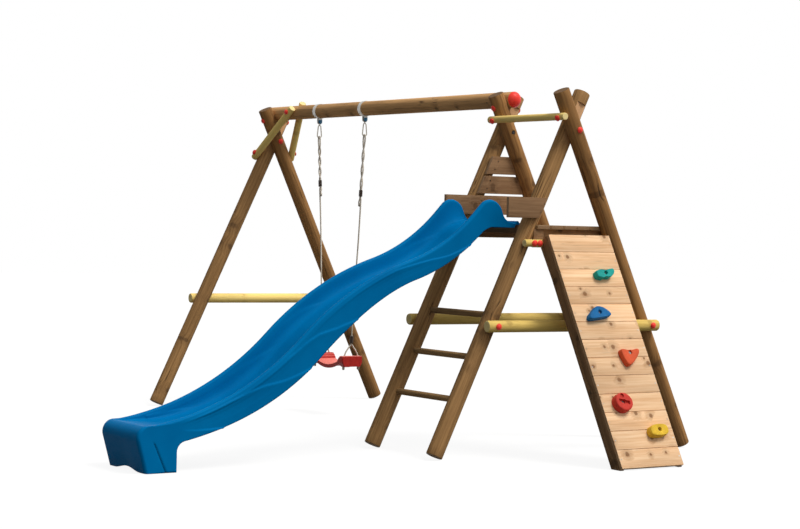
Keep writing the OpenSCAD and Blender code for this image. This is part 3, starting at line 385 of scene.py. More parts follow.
# Leg pairs
# Six round pine poles, soaked brown against rot. Each pair is halved at its crossing, bolted through
# there and saddled under the beam; the ends are sawn square and the long drying cracks stay open.
pole_r = 50
lean = math.radians(25.65)
leg_length, leg_cross = 2380, 2123
lap_offset = 37.5
foot_y = leg_cross * math.sin(lean)
foot_lift = pole_r * math.sin(lean)
cross_z = foot_lift + leg_cross * math.cos(lean)
beam_rise = 204
beam_z = cross_z + beam_rise
pair_x = {"left": -2820, "middle": 0, "right": 645}
front_back = ((-1, "front"), (1, "back"))


def leg_y(z):
    """Distance of a leg's axis from the middle plane at a height."""
    return (cross_z - z) * math.tan(lean)


def leg_point(x, side, along):
    """Place on a leg's axis; side is -1 for the leg whose foot is on the slide's side."""
    y = side * (foot_y - along * math.sin(lean))
    return spot(x + side * lap_offset, y, foot_lift + along * math.cos(lean))


def tube(start, end, radius, sides=48):
    """Points and faces of a plain round cutter."""
    axis = (end - start).normalized()
    across = axis.orthogonal().normalized()
    other = axis.cross(across)
    points = []
    for place in (start, end):
        for n in range(sides):
            angle = 2 * math.pi * n / sides
            points.append(place + radius * (math.cos(angle) * across + math.sin(angle) * other))
    return points, capped_faces(2, sides)


def block(low, high, turn):
    """Points and faces of a box, turned by a matrix."""
    corners = [(x, y, z) for x in (low[0], high[0]) for y in (low[1], high[1]) for z in (low[2], high[2])]
    points = [turn @ Vector(corner) for corner in corners]
    return points, [(0, 1, 3, 2), (4, 6, 7, 5), (0, 4, 5, 1), (2, 3, 7, 6), (0, 2, 6, 4), (1, 5, 7, 3)]


def cut(mesh, cutters):
    """Mesh with the cutters taken out of it; several cutters may overlap."""
    if not cutters:
        return mesh
    points, faces = [], []
    for cutter_points, cutter_faces in cutters:
        faces += [tuple(i + len(points) for i in face) for face in cutter_faces]
        points += [tuple(p) for p in cutter_points]
    tool_mesh = bpy.data.meshes.new("tool")
    tool_mesh.from_pydata(points, [], faces)
    tool = bpy.data.objects.new("tool", tool_mesh)
    blank = bpy.data.objects.new("blank", mesh)
    for helper in (tool, blank):
        scene.collection.objects.link(helper)
    saw = blank.modifiers.new("saw", "BOOLEAN")
    saw.operation, saw.solver, saw.object, saw.use_self = "DIFFERENCE", "EXACT", tool, True
    done = bpy.data.meshes.new_from_object(blank.evaluated_get(bpy.context.evaluated_depsgraph_get()))
    done.name = mesh.name
    for helper in (tool, blank):
        bpy.data.objects.remove(helper)
    return done


def pole_blank(name, start, end, radius, seed, bevel=4, sides=72, cracks=3):
    """Round timber with eased ends, a slightly uneven skin and a few drying cracks along it."""
    draw = random.Random(seed)
    axis = end - start
    length = axis.length
    axis.normalize()
    across = axis.orthogonal().normalized()
    other = axis.cross(across)
    bevel = bevel / 1000
    rows = max(10, round(length / 0.05))
    ends = [(0, 0.4), (0, 0.75), (0, 1 - bevel / radius), (bevel * 0.3, 1 - bevel * 0.3 / radius),
            (bevel, 1)]
    body = [(bevel + (length - 2 * bevel) * k / rows, 1) for k in range(1, rows)]
    rings = ends + body + [(length - t, share) for t, share in reversed(ends)]
    grooves = []
    for _ in range(cracks):
        first = draw.uniform(0.02, 0.6) * length
        place = draw.randrange(sides)
        last = first + draw.uniform(0.15, 0.4) * length
        grooves.append((place, first, last, draw.uniform(0.0015, 0.003)))
    points = [start]
    for t, share in rings:
        for n in range(sides):
            angle = 2 * math.pi * n / sides
            skin_place = Vector((1.5 * math.cos(angle), 1.5 * math.sin(angle), 4 * t + 10 * seed))
            rough = 0.5 + 0.5 * noise.noise(skin_place)
            deep = sum(d * math.sin(math.pi * (t - low) / (high - low)) for place, low, high, d in grooves
                       if place == n and low < t < high)
            reach = radius * share * (1 - 0.012 * rough) - deep
            points.append(start + axis * t + reach * (math.cos(angle) * across + math.sin(angle) * other))
    points.append(end)
    last_ring = 1 + (len(rings) - 1) * sides
    faces = [(0, 1 + (n + 1) % sides, 1 + n) for n in range(sides)]
    faces += ring_faces(len(rings), sides, 1)
    faces += [(last_ring + n, last_ring + (n + 1) % sides, len(points) - 1) for n in range(sides)]
    return mesh_of(name, points, faces)


def mark(mesh, name, domain, values, kind="FLOAT"):
    """Writes a named value on each point, face or corner of a mesh."""
    made = mesh.attributes.new(name, kind, domain)
    made.data.foreach_set("vector" if kind == "FLOAT_VECTOR" else "value", values)


def crease(mesh, degrees):
    """Smooth faces, with an edge kept where two of them meet at more than an angle."""
    mesh.shade_smooth()
    mesh.set_sharp_from_angle(angle=math.radians(degrees))


# The pale sawn flat fades in from here up the leg; below this it is kept dark as painted shade of the
# crossing leg.
sawn_flat_shade_from, sawn_flat_shade_run = 2.02, 0.17


def grain_marks(mesh, start, along, across, seed, fresh=None):
    """Writes the place in the timber and its tone, and marks the end grain and the flat at x = fresh, whose
    pale fades out towards its lower end as painted shade.
    """
    draw = random.Random(seed)
    other = along.cross(across)
    slip = Vector((0, 0, draw.uniform(0, 40)))
    pith = Vector((draw.uniform(-0.008, 0.008), draw.uniform(-0.008, 0.008), 0))
    places = []
    for v in mesh.vertices:
        d = v.co - start
        places += list(Vector((d.dot(across), d.dot(other), d.dot(along))) + slip + pith)
    mark(mesh, "grain", "POINT", places, "FLOAT_VECTOR")
    mark(mesh, "end_grain", "FACE", [float(abs(f.normal.dot(along)) > 0.75) for f in mesh.polygons])
    mark(mesh, "tone", "FACE", [draw.random()] * len(mesh.polygons))
    shares = [0.0] * len(mesh.loops)
    for f in mesh.polygons:
        if fresh and f.normal.x > 0.97 and abs(f.center.x - fresh) < 0.001:
            for index in f.loop_indices:
                far = (mesh.vertices[mesh.loops[index].vertex_index].co - start).dot(along)
                # The flat's pale rises from a tenth at its lower end to full above the crossing: painted
                # shade of the crossing leg.
                shares[index] = min(1, max(0.1, (far - sawn_flat_shade_from) / sawn_flat_shade_run))
    mark(mesh, "fresh_sawn", "CORNER", shares)
    crease(mesh, 35)


def marked(tree, name, out="Fac"):
    return wired(tree, "Attribute", out=out, settings={"attribute_name": name})


def timber_group():
    """Wood's look from the place in the timber: streaks, fibres, knots, drying cracks and end rings."""
    tree = bpy.data.node_groups.new("timber_look", "ShaderNodeTree")
    for label in ("Pale", "Dark", "Knot", "End", "Fresh"):
        tree.interface.new_socket(label, in_out="INPUT", socket_type="NodeSocketColor")
    for label in ("Knots", "Cracks", "Patches", "Tones", "Spread"):
        tree.interface.new_socket(label, in_out="INPUT", socket_type="NodeSocketFloat")
    for label, kind in (("Color", "Color"), ("Roughness", "Float"), ("Height", "Float")):
        tree.interface.new_socket(label, in_out="OUTPUT", socket_type="NodeSocket" + kind)
    given = {socket.name: Wire(socket) for socket in tree.nodes.new("NodeGroupInput").outputs}
    grain = marked(tree, "grain", "Vector")
    end, sawn, tone = [marked(tree, name) for name in ("end_grain", "fresh_sawn", "tone")]

    sides = wired(tree, "SeparateXYZ", (grain,))
    flat = wired(tree, "CombineXYZ", (sides.also("Y"), sides.also("Z")))
    cells = wired(tree, "TexVoronoi", out="Distance", settings={"voronoi_dimensions": "2D"}, Vector=flat,
                  Scale=given["Spread"])
    chance = wired(tree, "SeparateColor", (cells.also("Color"),))
    kept = between(chance, 0.55, 0.6) * given["Knots"]
    knot_far = cells + (mottle(grain, 90.0) - 0.5) * 0.08
    knot_far = knot_far * between(chance.also("Green"), 0.0, 1.0, 0.7, 1.6)
    knot = between(knot_far, 0.12, 0.07) * kept
    near_knot = between(knot_far, 0.38, 0.1) * kept

    warp = wired(tree, "TexNoise", out="Color", Vector=stretched(grain, (6, 6, 1.5)), Scale=1.0, Detail=2.0)
    warp_share = near_knot * 0.03 + 0.012
    shift = wired(tree, "VectorMath", (warp,), settings={"operation": "SCALE"}, Scale=warp_share)
    bent = wired(tree, "VectorMath", (grain, shift), settings={"operation": "ADD"})

    streak = mottle(stretched(bent, (70, 70, 1.7)), 1.0, 5.0, 0.6)
    fibre = mottle(stretched(bent, (420, 420, 9)), 1.0, 3.0, 0.6)
    patch = mottle(stretched(grain, (5, 5, 1.3)), 1.0, 2.0)
    figure = between(streak * 0.7 + fibre * 0.3, 0.36, 0.64)
    colour = mixed(figure, given["Dark"], given["Pale"])
    shade = (patch - 0.5) * given["Patches"] + 1.0 + (tone - 0.5) * given["Tones"]
    colour = mixed(1.0, colour, wired(tree, "CombineColor", (shade, shade, shade)), "MULTIPLY")
    colour = mixed(near_knot * 0.35, colour, given["Knot"])
    colour = mixed(knot * 0.85, colour, given["Knot"])

    split = mottle(stretched(bent, (38, 38, 1.1)), 1.0, 1.0)
    open_split = mottle(stretched(grain, (9, 9, 2.2)), 1.0, 1.0)
    crack = between((split - 0.5).math("ABSOLUTE"), 0.014, 0.004)
    crack = crack * between(open_split, 0.5, 0.58) * given["Cracks"]
    colour = mixed(crack * 0.7, colour, (0.02, 0.013, 0.007, 1))

    pith = wired(tree, "SeparateXYZ", (bent,))
    pith_far = (pith.math("POWER", 2.0) + pith.also("Y").math("POWER", 2.0)).math("SQRT")
    ring = (pith_far * 1700.0).math("SINE") * 0.5 + 0.5
    star = mottle(stretched(grain, (45, 45, 0.0)), 1.0)
    end_dark = mixed(0.6, given["End"], given["Dark"])
    colour = mixed(end, colour, mixed(ring * 0.35 + star * 0.65, end_dark, given["End"]))
    fresh_dark = mixed(0.35, given["Fresh"], given["Knot"])
    # The sawn flat's share carries its painted shade below the crossing.
    colour = mixed(sawn, colour, mixed(figure * 0.5, given["Fresh"], fresh_dark))

    out = tree.nodes.new("NodeGroupOutput").inputs
    put(out["Color"], colour)
    put(out["Roughness"], 0.86 - figure * 0.16)
    put(out["Height"], fibre * 0.35 + streak * 0.35 - crack * 0.9 + ring * end * 0.3)
    return tree


timber_look = timber_group()


def timber(name, pale, dark, knot, end, fresh, knots=1.0, cracks=1.0, patches=0.7, spread=6.0, depth=0.0012):
    """Finish of one kind of wood."""
    made, tree, shader = new_material(name, 0.75, Specular_IOR_Level=0.15)
    look = wired(tree, "Group", out="Color", settings={"node_tree": timber_look}, Pale=(*pale, 1),
                 Dark=(*dark, 1), Knot=(*knot, 1), End=(*end, 1), Fresh=(*fresh, 1), Knots=knots,
                 Cracks=cracks, Patches=patches, Tones=0.2, Spread=spread)
    put(shader.inputs["Base Color"], look)
    put(shader.inputs["Roughness"], look.also("Roughness"))
    bumped(shader, look.also("Height"), depth)
    return made


pole_end, pole_fresh = (0.14, 0.085, 0.045), (0.74, 0.43, 0.22)
pole_brown = timber("pole_brown", (0.42, 0.215, 0.075), (0.20, 0.098, 0.034), (0.075, 0.036, 0.015),
                    pole_end, pole_fresh, knots=0.65)
# The front legs take a paler, greyer copy of the poles' brown: painted sky light on their upper sides.
pole_grey = timber("pole_grey", (0.46, 0.255, 0.1), (0.24, 0.128, 0.048), (0.08, 0.043, 0.02),
                   pole_end, pole_fresh, knots=0.65)

along_x, along_y = Vector((1, 0, 0)), Vector((0, 1, 0))
cap_sunk, sinking_r, sinking_deep = 8, 0.015, 0.05
beam_near = beam_rise * math.sin(lean)
bolt_seats = []
for x in pair_x.values():
    for way in (1, -1):
        bolt_seats.append((spot(x + way * (lap_offset + pole_r - cap_sunk), 0, cross_z), way * along_x))
for x in (pair_x["left"], pair_x["middle"]):
    for side in (-1, 1):
        way = Vector((0, -side * math.cos(lean), -math.sin(lean)))
        under = way * (beam_near + pole_r - cap_sunk) / 1000
        bolt_seats.append((spot(x + side * lap_offset, 0, beam_z) + under, way))


def fixed_pole(name, start, end, radius, seed, material, slot, cutters=(), fresh=None, **blank):
    """Round timber with its notches and the sinkings for its bolts, in place of the node of its name."""
    axis = (end - start).normalized()
    seats = []
    for place, way in bolt_seats:
        far = (place - start).dot(axis)
        off = ((place - start) - axis * far).length
        if off < radius + 0.002 and -0.02 < far < (end - start).length + 0.02:
            seats.append(tube(place, place + sinking_deep * way, sinking_r, 32))
    mesh = cut(pole_blank(name, start, end, radius, seed, **blank), list(cutters) + seats)
    grain_marks(mesh, start, axis, axis.orthogonal().normalized(), seed, fresh)
    return show(name + "_wood", mesh, material, slot, "frame", name)


# A notch is 0.2 mm wider on each side than the pole that lies in it.
beam_notch_r, bar_notch_r, rung_notch_r = 0.0502, 0.0222, 0.0192
beam_round = tube(spot(-3000, 0, beam_z), spot(200, 0, beam_z), beam_notch_r, 96)
rungs_z, rung_ends = (342, 587, 832), (-22.5, 592.5)
wall_bar_x, wall_bar_z = 676.5, 1258
wall_bar_y = (-leg_y(wall_bar_z) - 30, leg_y(wall_bar_z) - pole_r / math.cos(lean) + 30)
wall_bar_line = [spot(wall_bar_x, y, wall_bar_z) for y in wall_bar_y]
wall_bar_round = tube(*wall_bar_line, bar_notch_r)
lap_flat, lap_half, lap_top, lap_deep = 0.0374, 95, 75, 0.1


def rung_line(z):
    """Ends of the rung at a height."""
    return [spot(x, -leg_y(z), z) for x in rung_ends]


for number, (pair, x) in enumerate(pair_x.items()):
    for side, word in front_back:
        foot, head = leg_point(x, side, 0), leg_point(x, side, leg_length)
        lap_low = leg_cross - lap_half
        lap_high = leg_length - lap_top if side < 0 else leg_cross + lap_half
        flat = sorted((-side * lap_flat, -side * (lap_flat + lap_deep)))
        turn = Matrix.Translation(foot) @ Matrix.Rotation(side * lean, 4, "X")
        cutters = [block((flat[0], -0.1, lap_low / 1000), (flat[1], 0.1, lap_high / 1000), turn)]
        if pair != "right":
            cutters.append(beam_round)
        if side < 0 and pair != "left":
            cutters += [tube(*rung_line(z), rung_notch_r) for z in rungs_z]
        if side > 0 and pair == "right":
            cutters.append(wall_bar_round)
        fixed_pole(f"leg_{pair}_{word}", foot, head, pole_r / 1000, 11 + 2 * number + (side > 0),
                   pole_grey if side < 0 else pole_brown, "pole_wood", cutters,
                   foot.x + lap_flat if side < 0 else None)


# Swing beam
# One long pole of the same brown pine lies in the forks of the left and middle pairs. It is bolted
# through each leg head, and a red plastic cap is pushed into each of its ends.
# The beam takes a much paler copy of the poles' brown: painted light on it.
beam_brown = timber("beam_brown", (0.76, 0.435, 0.185), (0.45, 0.25, 0.105), (0.13, 0.068, 0.03),
                    pole_end, pole_fresh, knots=0.65)
cap_pin_r, cap_pin = 0.0122, 31
cap_holes = [(beam_ends[0] - 5, beam_ends[0] + cap_pin), (beam_ends[1] - cap_pin, beam_ends[1] + 5)]
cap_bores = [tube(spot(low, 0, beam_z), spot(high, 0, beam_z), cap_pin_r) for low, high in cap_holes]
fixed_pole("swing_beam", *[spot(x, 0, beam_z) for x in beam_ends], pole_r / 1000, 31, beam_brown,
           "pole_wood", cap_bores, bevel=2)


# Crossbars, braces, top rail and wall bar
# Thinner poles of yellow, freshly soaked pine with rounded ends. They are coped to the poles that they
# cross and held by coach bolts under red caps.
bar_yellow = timber("bar_yellow", (0.86, 0.63, 0.19), (0.68, 0.47, 0.12), (0.32, 0.19, 0.05),
                    (0.9, 0.74, 0.36), (0.80, 0.60, 0.25), knots=0.5, cracks=0.25, patches=0.35,
                    depth=0.0006)
# A paler copy of the bars' yellow goes on the left crossbar, the braces and the top rail: painted light on
# them.
bar_pale = timber("bar_pale", (1.0, 0.77, 0.28), (0.96, 0.69, 0.2), (0.5, 0.32, 0.1),
                  (0.9, 0.76, 0.4), (0.9, 0.7, 0.3), knots=0.4, cracks=0.25, patches=0.1, depth=0.0006)
bar_z, bar_reach, bar_bolt, bar_r, bar_half = 770, 77, 29, 0.035, 0.62
bar_skew = math.atan2(lap_offset, leg_y(bar_z))
bar_along = Vector((math.sin(bar_skew), math.cos(bar_skew), 0))


def leg_rounds(pair, grow=0.0002, sides=(-1, 1)):
    """Cutters with the shape of a pair's legs."""
    x = pair_x[pair]
    lines = [(leg_point(x, side, -20), leg_point(x, side, leg_length + 20)) for side in sides]
    return [tube(low, high, pole_r / 1000 + grow, 96) for low, high in lines]


for number, (pair, x) in enumerate(pair_x.items()):
    way = 1 if pair == "right" else -1
    for side in (-1, 1):
        seat_x = x + side * lap_offset + way * (bar_reach + bar_bolt)
        bolt_seats.append((spot(seat_x, side * leg_y(bar_z), bar_z), way * along_x))
    middle = spot(x + way * bar_reach, 0, bar_z)
    fixed_pole("crossbar_" + pair, middle - bar_half * bar_along, middle + bar_half * bar_along, bar_r,
               41 + number, bar_pale if pair == "left" else bar_yellow, "bar_wood", leg_rounds(pair),
               bevel=8, sides=56, cracks=1)

brace_r, brace_down, brace_off, brace_bolt, head_r = 0.025, 140, 72, 0.019, 0.0193
brace_reach, brace_over = {-1: 320, 1: 240}, {-1: 0.045, 1: 0.09}
brace_y, brace_z = brace_down * math.sin(lean), cross_z - brace_down * math.cos(lean)
for side, word in front_back:
    slope = Vector((0, side * math.cos(lean), math.sin(lean)))
    low = spot(pair_x["left"] + side * lap_offset, side * brace_y, brace_z) + slope * brace_off / 1000
    high = spot(pair_x["left"] + brace_reach[side], side * brace_off, beam_z)
    along = (high - low).normalized()
    ends = [(low + brace_bolt * slope, slope), (high + side * brace_bolt * along_y, side * along_y)]
    bolt_seats += ends
    head_seats = [tube(place + 0.008 * way, place + sinking_deep * way, head_r, 32) for place, way in ends]
    fixed_pole("brace_" + word, low - 0.045 * along, high + brace_over[side] * along, brace_r, 51 + side,
               bar_pale, "bar_wood", leg_rounds("left", sides=(side,)) + [beam_round] + head_seats,
               bevel=6, sides=48, cracks=1)

rail_r, rail_bolt, rail_up, rail_off, rail_ends = 0.022, 0.016, 117, 69, (-12.5, 732.5)
rail_y = -rail_up * math.sin(lean) - rail_off * math.cos(lean)
rail_z = cross_z + rail_up * math.cos(lean) - rail_off * math.sin(lean)
rail_way = Vector((0, -math.cos(lean), -math.sin(lean)))
for pair in ("middle", "right"):
    bolt_seats.append((spot(pair_x[pair] + lap_offset, rail_y, rail_z) + rail_bolt * rail_way, rail_way))
fixed_pole("top_rail", *[spot(x, rail_y, rail_z) for x in rail_ends], rail_r, 61, bar_pale, "bar_wood",
           leg_rounds("middle", sides=(1,)) + leg_rounds("right", sides=(1,)), bevel=5, sides=48, cracks=1)

for y in (-255, -295):
    bolt_seats.append((spot(wall_bar_x + 16, y, wall_bar_z), along_x))
fixed_pole("wall_bar", *wall_bar_line, rail_r, 63, bar_yellow, "bar_wood", leg_rounds("right", sides=(-1,)),
           bevel=5, sides=48, cracks=1)


# Ladder rungs
# Three turned brown rungs are let into the front legs of the middle and right pairs.
# They are sanded smoother than the poles, so their grain is finer and their cracks are few.
rung_brown = timber("rung_brown", (0.42, 0.25, 0.105), (0.22, 0.125, 0.05), (0.05, 0.028, 0.014),
                    (0.2, 0.13, 0.08), (0.5, 0.3, 0.16), knots=0.5, cracks=0.3, depth=0.0006)
rung_r = 0.019
for z, word in zip(rungs_z, ("low", "second", "top")):
    fixed_pole("rung_" + word, *rung_line(z), rung_r, 70 + z, rung_brown, "rung_wood",
               bevel=2, sides=40, cracks=0)


# Platform boards
# Sawn brown boards: two bearers along the legs, five deck boards on them and a fascia between their front
# ends, guard boards above and the block that hangs the wall's bar. Where they meet a leg they are notched.
board_brown = timber("board_brown", (0.35, 0.205, 0.105), (0.205, 0.112, 0.055), (0.09, 0.045, 0.02),
                     (0.4, 0.25, 0.14), (0.6, 0.36, 0.2), knots=0.7, cracks=0.4, patches=0.6)
deck_brown = timber("deck_brown", (0.58, 0.38, 0.205), (0.34, 0.21, 0.105), (0.09, 0.05, 0.022),
                    (0.24, 0.145, 0.08), (0.6, 0.36, 0.2), knots=0.9, cracks=0.6, patches=0.8)


def board_blank(name, outline, thick, place, edge=0.0025):
    """Board with eased edges: an outline drawn in its own plane, given its thickness along +Z."""
    form = bmesh.new()
    count = len(outline)
    lower = [form.verts.new((x, y, 0)) for x, y in outline]
    upper = [form.verts.new((x, y, thick)) for x, y in outline]
    form.faces.new(list(reversed(lower)))
    form.faces.new(upper)
    for k in range(count):
        form.faces.new((lower[k], lower[(k + 1) % count], upper[(k + 1) % count], upper[k]))
    bmesh.ops.recalc_face_normals(form, faces=form.faces)
    bmesh.ops.bevel(form, geom=list(form.edges), offset=edge, segments=2, profile=0.6, affect="EDGES",
                    clamp_overlap=True)
    bmesh.ops.transform(form, matrix=place, verts=form.verts)
    made = bpy.data.meshes.new(name)
    form.to_mesh(made)
    form.free()
    return made


def fixed_board(name, outline, thick, place, along, seed, material=board_brown, cutters=()):
    """Board with its notches, shown in place of the node of its name."""
    mesh = cut(board_blank(name, outline, thick, place), list(cutters))
    start = place @ Vector((*outline[0], 0))
    grain_marks(mesh, start + 0.03 * along.orthogonal(), along, along.orthogonal().normalized(), seed)
    return show(name + "_wood", mesh, material, "board_wood", "frame", name)


def box_board(name, low, high, along, seed, cutters=()):
    """Straight board between two corners of the layout, in millimetres."""
    low, high = spot(*low), spot(*high)
    size = high - low
    outline = [(0, 0), (size.x, 0), (size.x, size.y), (0, size.y)]
    return fixed_board(name, outline, size.z, Matrix.Translation(low), along, seed, cutters=cutters)


deck_z, deck_t, bearer_h, bearer_past = 1365, 24, 60, 45
bearer_top = deck_z - deck_t
bearer_low = bearer_top - bearer_h
bearer_reach = leg_y(bearer_top - bearer_h / 2)
box_board("bearer_middle", (12.5, -bearer_reach - bearer_past, bearer_low), (50.5, bearer_reach, bearer_top),
          along_y, 81, leg_rounds("middle"))
box_board("bearer_right", (594.5, -bearer_reach, bearer_low),
          (632.5, bearer_reach + bearer_past, bearer_top), along_y, 82, leg_rounds("right"))
box_board("fascia", (50.9, -272.5, deck_z - 51), (594.1, -248.5, deck_z - 1), along_x, 83)
box_board("bar_block", (632.7, -266, wall_bar_z - 25), (654.3, -194, bearer_top - 1), along_y, 84,
          leg_rounds("right", 0.0004, (-1,)))


def joined(name, meshes):
    """One mesh of several, with their marks kept."""
    made = []
    for k, mesh in enumerate(meshes):
        part = bpy.data.objects.new(f"{name}_{k}", mesh)
        scene.collection.objects.link(part)
        made.append(part)
    chosen = {"selected_editable_objects": made, "selected_objects": made}
    with bpy.context.temp_override(active_object=made[0], **chosen):
        bpy.ops.object.join()
    mesh = made[0].data
    bpy.data.objects.remove(made[0])
    mesh.name = name
    return mesh


deck_parts = []
for k in range(5):
    low = spot(12.5, 100 * k - 247.5, bearer_top)
    outline = [(0, 0), (0.6555, 0), (0.6555, 0.095), (0, 0.095)]
    board = board_blank("deck_board", outline, deck_t / 1000, Matrix.Translation(low), 0.003)
    board = cut(board, leg_rounds("middle", 0.002) + leg_rounds("right", 0.002))
    grain_marks(board, low + Vector((0, 0.04, -0.03)), along_x, along_y, 90 + k)
    deck_parts.append(board)
deck_mesh = joined("deck_boards_wood", deck_parts)
show("deck_boards_wood", deck_mesh, deck_brown, "deck_wood", "frame", "deck_boards")

guard_t = 0.022
guard_x = {"middle": 12.5, "right": 657.5}
side_view = Matrix(((0, 0, 1, 0), (1, 0, 0, 0), (0, 1, 0, 0), (0, 0, 0, 1)))


def guard(name, pair, z, height, left, right, seed, sides=(-1, 1)):
    """Guard board with slanted ends, which are given at its lower and upper edge."""
    outline = [(left[0], 0), (right[0], 0), (right[1], height), (left[1], height)]
    place = Matrix.Translation(spot(guard_x[pair], 0, z)) @ side_view
    fixed_board(name, [(y / 1000, up / 1000) for y, up in outline], guard_t, place, along_y, seed,
                cutters=leg_rounds(pair, sides=sides))


for name, z, seed in (("guard_top", 1674, 101), ("guard_second", 1552, 102)):
    reach = (leg_y(z), leg_y(z + 110))
    guard(name, "middle", z, 110, (-reach[0] - 40, -reach[1] - 40), reach, seed)
guard("guard_slide_left", "middle", 1423, 117, (-465, -465), (leg_y(1423), leg_y(1540)), 103)
guard("guard_slide_right", "right", 1406, 121, (-477, -477), (8 - leg_y(1406), 8 - leg_y(1527)), 104, (-1,))


# Slide
# One blue blow-moulded shell: a channel with rolled rims that waves twice, hollow side walls with flowing
# ridges raised on them, a rolled lip on the deck and a rounded foot block that stands on two corners.
slide_left, slide_right = 65, 505
slide_mid = (slide_left + slide_right) / 2
slide_half = (slide_right - slide_left) / 2
rim_w, lip_drop = 36, 18
deck_slope, flat_slope, steep_slope, rim_slope, toe_slope, foot_slope = 42, 18, 44.5, 46, 14, 9


def slope_normal(degrees):
    return np.array([math.sin(math.radians(degrees)), math.cos(math.radians(degrees))])


def slope_way(degrees):
    return np.array([math.cos(math.radians(degrees)), -math.sin(math.radians(degrees))])


def bend(start, first, last, radius, count=24):
    """Stations of a bend: place in the side view and slope in degrees; it steepens where last is larger."""
    sign = 1 if last > first else -1
    made = []
    for k in range(1, count + 1):
        t = first + (last - first) * k / count
        made.append((start + sign * radius * (slope_normal(t) - slope_normal(first)), t))
    return made


def circle_points(centre, radius, first, last, count):
    turn = [math.radians(first + (last - first) * k / count) for k in range(count + 1)]
    return [np.array(centre) + radius * np.array([math.cos(a), math.sin(a)]) for a in turn]


def drop_radius(height, first, last):
    """Radius of a bend that comes down by a height between two slopes."""
    return height / (math.cos(math.radians(last)) - math.cos(math.radians(first)))


bed_z, skin_h = 1369.0, 5.0
bed_end, rim_end_z = np.array([2800.0, 240.0]), 257
bed_start = np.array([387.0, bed_z])
deck_bend, bed_wave_one, bed_wave_two, bed_straight = 260, 1250, 1700, 110
bed_run = bend(bed_start, 0, deck_slope, deck_bend)
bed_run += bend(bed_run[-1][0], deck_slope, flat_slope, bed_wave_one)
bed_run += bend(bed_run[-1][0], flat_slope, steep_slope, bed_wave_two)
bed_low = bed_run[-1][0] + bed_straight * slope_way(steep_slope)
bed_run += [(bed_low, steep_slope)]
bed_run += bend(bed_low, steep_slope, 0, drop_radius(bed_low[1] - bed_end[1], steep_slope, 0), 40)
bed_line = np.array([[262.0, bed_z], bed_start] + [p for p, _ in bed_run] + [bed_end])

rim_zero = np.array([532.16, 1482.58])
rim_straight, rim_wave_one, rim_wave_two = 70, 1123, 1800
rim_start = rim_zero + rim_straight * slope_way(rim_slope)
rim_one = bend(rim_start, rim_slope, flat_slope, rim_wave_one, 90)
rim_two = bend(rim_one[-1][0], flat_slope, steep_slope, rim_wave_two, 150)
rim_low = rim_two[-1][0]
rim_drop = drop_radius(rim_low[1] - rim_end_z, steep_slope, foot_slope)
rim_three = bend(rim_low, steep_slope, foot_slope, rim_drop, 170)
rim_end = rim_three[-1][0]
hump_r, entry_r = 88, 100
hump_c = rim_zero - hump_r * slope_normal(rim_slope)
entry_v = bed_z + 4 + entry_r
entry_u = hump_c[0] - math.sqrt((hump_r + entry_r) ** 2 - (hump_c[1] - entry_v) ** 2)
entry_turn = math.degrees(math.atan2(entry_v - hump_c[1], entry_u - hump_c[0]))
foot_front, foot_back = rim_end[0] + 40, rim_end[0] - 130
foot_c, foot_r = np.array([foot_front, 190.0]), 65


def bed_below(place, normal):
    """Depth and place of the bed under a point of the rim, square to the rim."""
    best = None
    for a, b in zip(bed_line[:-1], bed_line[1:]):
        run = b - a
        solve = run[0] * normal[1] - run[1] * normal[0]
        if abs(solve) < 1e-9:
            continue
        rel = place - a
        t = (rel[0] * normal[1] - rel[1] * normal[0]) / solve
        if -1e-6 <= t <= 1 + 1e-6:
            hit = a + t * run
            depth = (place - hit) @ normal
            if depth > -5 and (best is None or depth < best[0]):
                best = (depth, hit)
    return best


def wall_reach(share):
    """Depth of the walls under the rim: share is 0 up to the steeper bend, 1 after it and 2 at the foot."""
    return 120 + 46 * max(0.0, math.sin(math.pi / 2 * share)) ** 1.5


# Each station of the shell is the rim's crest, the bed and the outer wall's lower edge in the side view.
stations = []
for p in circle_points((273.5, bed_z + 6.5), 11, -90, -300, 14):
    stations.append((p, p, np.array([p[0], min(p[1], bed_z - skin_h)])))
for u in (284, 288):
    stations.append((np.array([u, bed_z + 4]), np.array([u, bed_z]), np.array([u, bed_z - skin_h])))
entry = circle_points((entry_u, entry_v), entry_r, -90, entry_turn - 180, 24)
hump = circle_points(hump_c, hump_r, entry_turn, 90 - rim_slope, 30)
rise = entry + hump[1:] + [rim_zero + (rim_start - rim_zero) * k / 6 for k in range(1, 7)]
bed_in, bed_out = 296, bed_below(rim_start, slope_normal(rim_slope))[1][0]
rise_far = run_along(rise)
for p, far in zip(rise, rise_far / rise_far[-1]):
    u = bed_in + (bed_out - bed_in) * far ** 0.8
    v = np.interp(u, bed_line[:, 0], bed_line[:, 1])
    low_v = min(v - skin_h - 4 * far, bed_z - skin_h - lip_drop)
    stations.append((p, np.array([u, v]), np.array([u - 3.6 * far, low_v])))
rim_first = len(stations)
walls = [(p, t, 0.0) for p, t in rim_one]
walls += [(p, t, (k + 1) / len(rim_two)) for k, (p, t) in enumerate(rim_two)]
walls += [(p, t, 1 + (k + 1) / len(rim_three)) for k, (p, t) in enumerate(rim_three) if t > toe_slope]
for p, t, share in walls:
    depth, under = bed_below(p, slope_normal(t))
    stations.append((p, under, p - max(wall_reach(share), depth + 9) * slope_normal(t)))
run_count = len(stations)
wall_end, wall_bed, arch_end = stations[-1]
foot_run = [p for p, t in rim_three if t <= toe_slope]
foot_round = circle_points(foot_c, foot_r, 90 - foot_slope, -15, 30)
foot_run += [rim_end + (foot_round[0] - rim_end) * k / 8 for k in range(1, 8)]
foot_nose, foot_toe = foot_round[-1], np.array([foot_front + 14, 1.0])
foot_face = [foot_nose + (foot_toe - foot_nose) * k / 30 for k in range(1, 31)]
foot_crest = foot_run + foot_round + foot_face
arch_r = (foot_back - arch_end[0]) / (1 - math.sin(math.radians(toe_slope)))
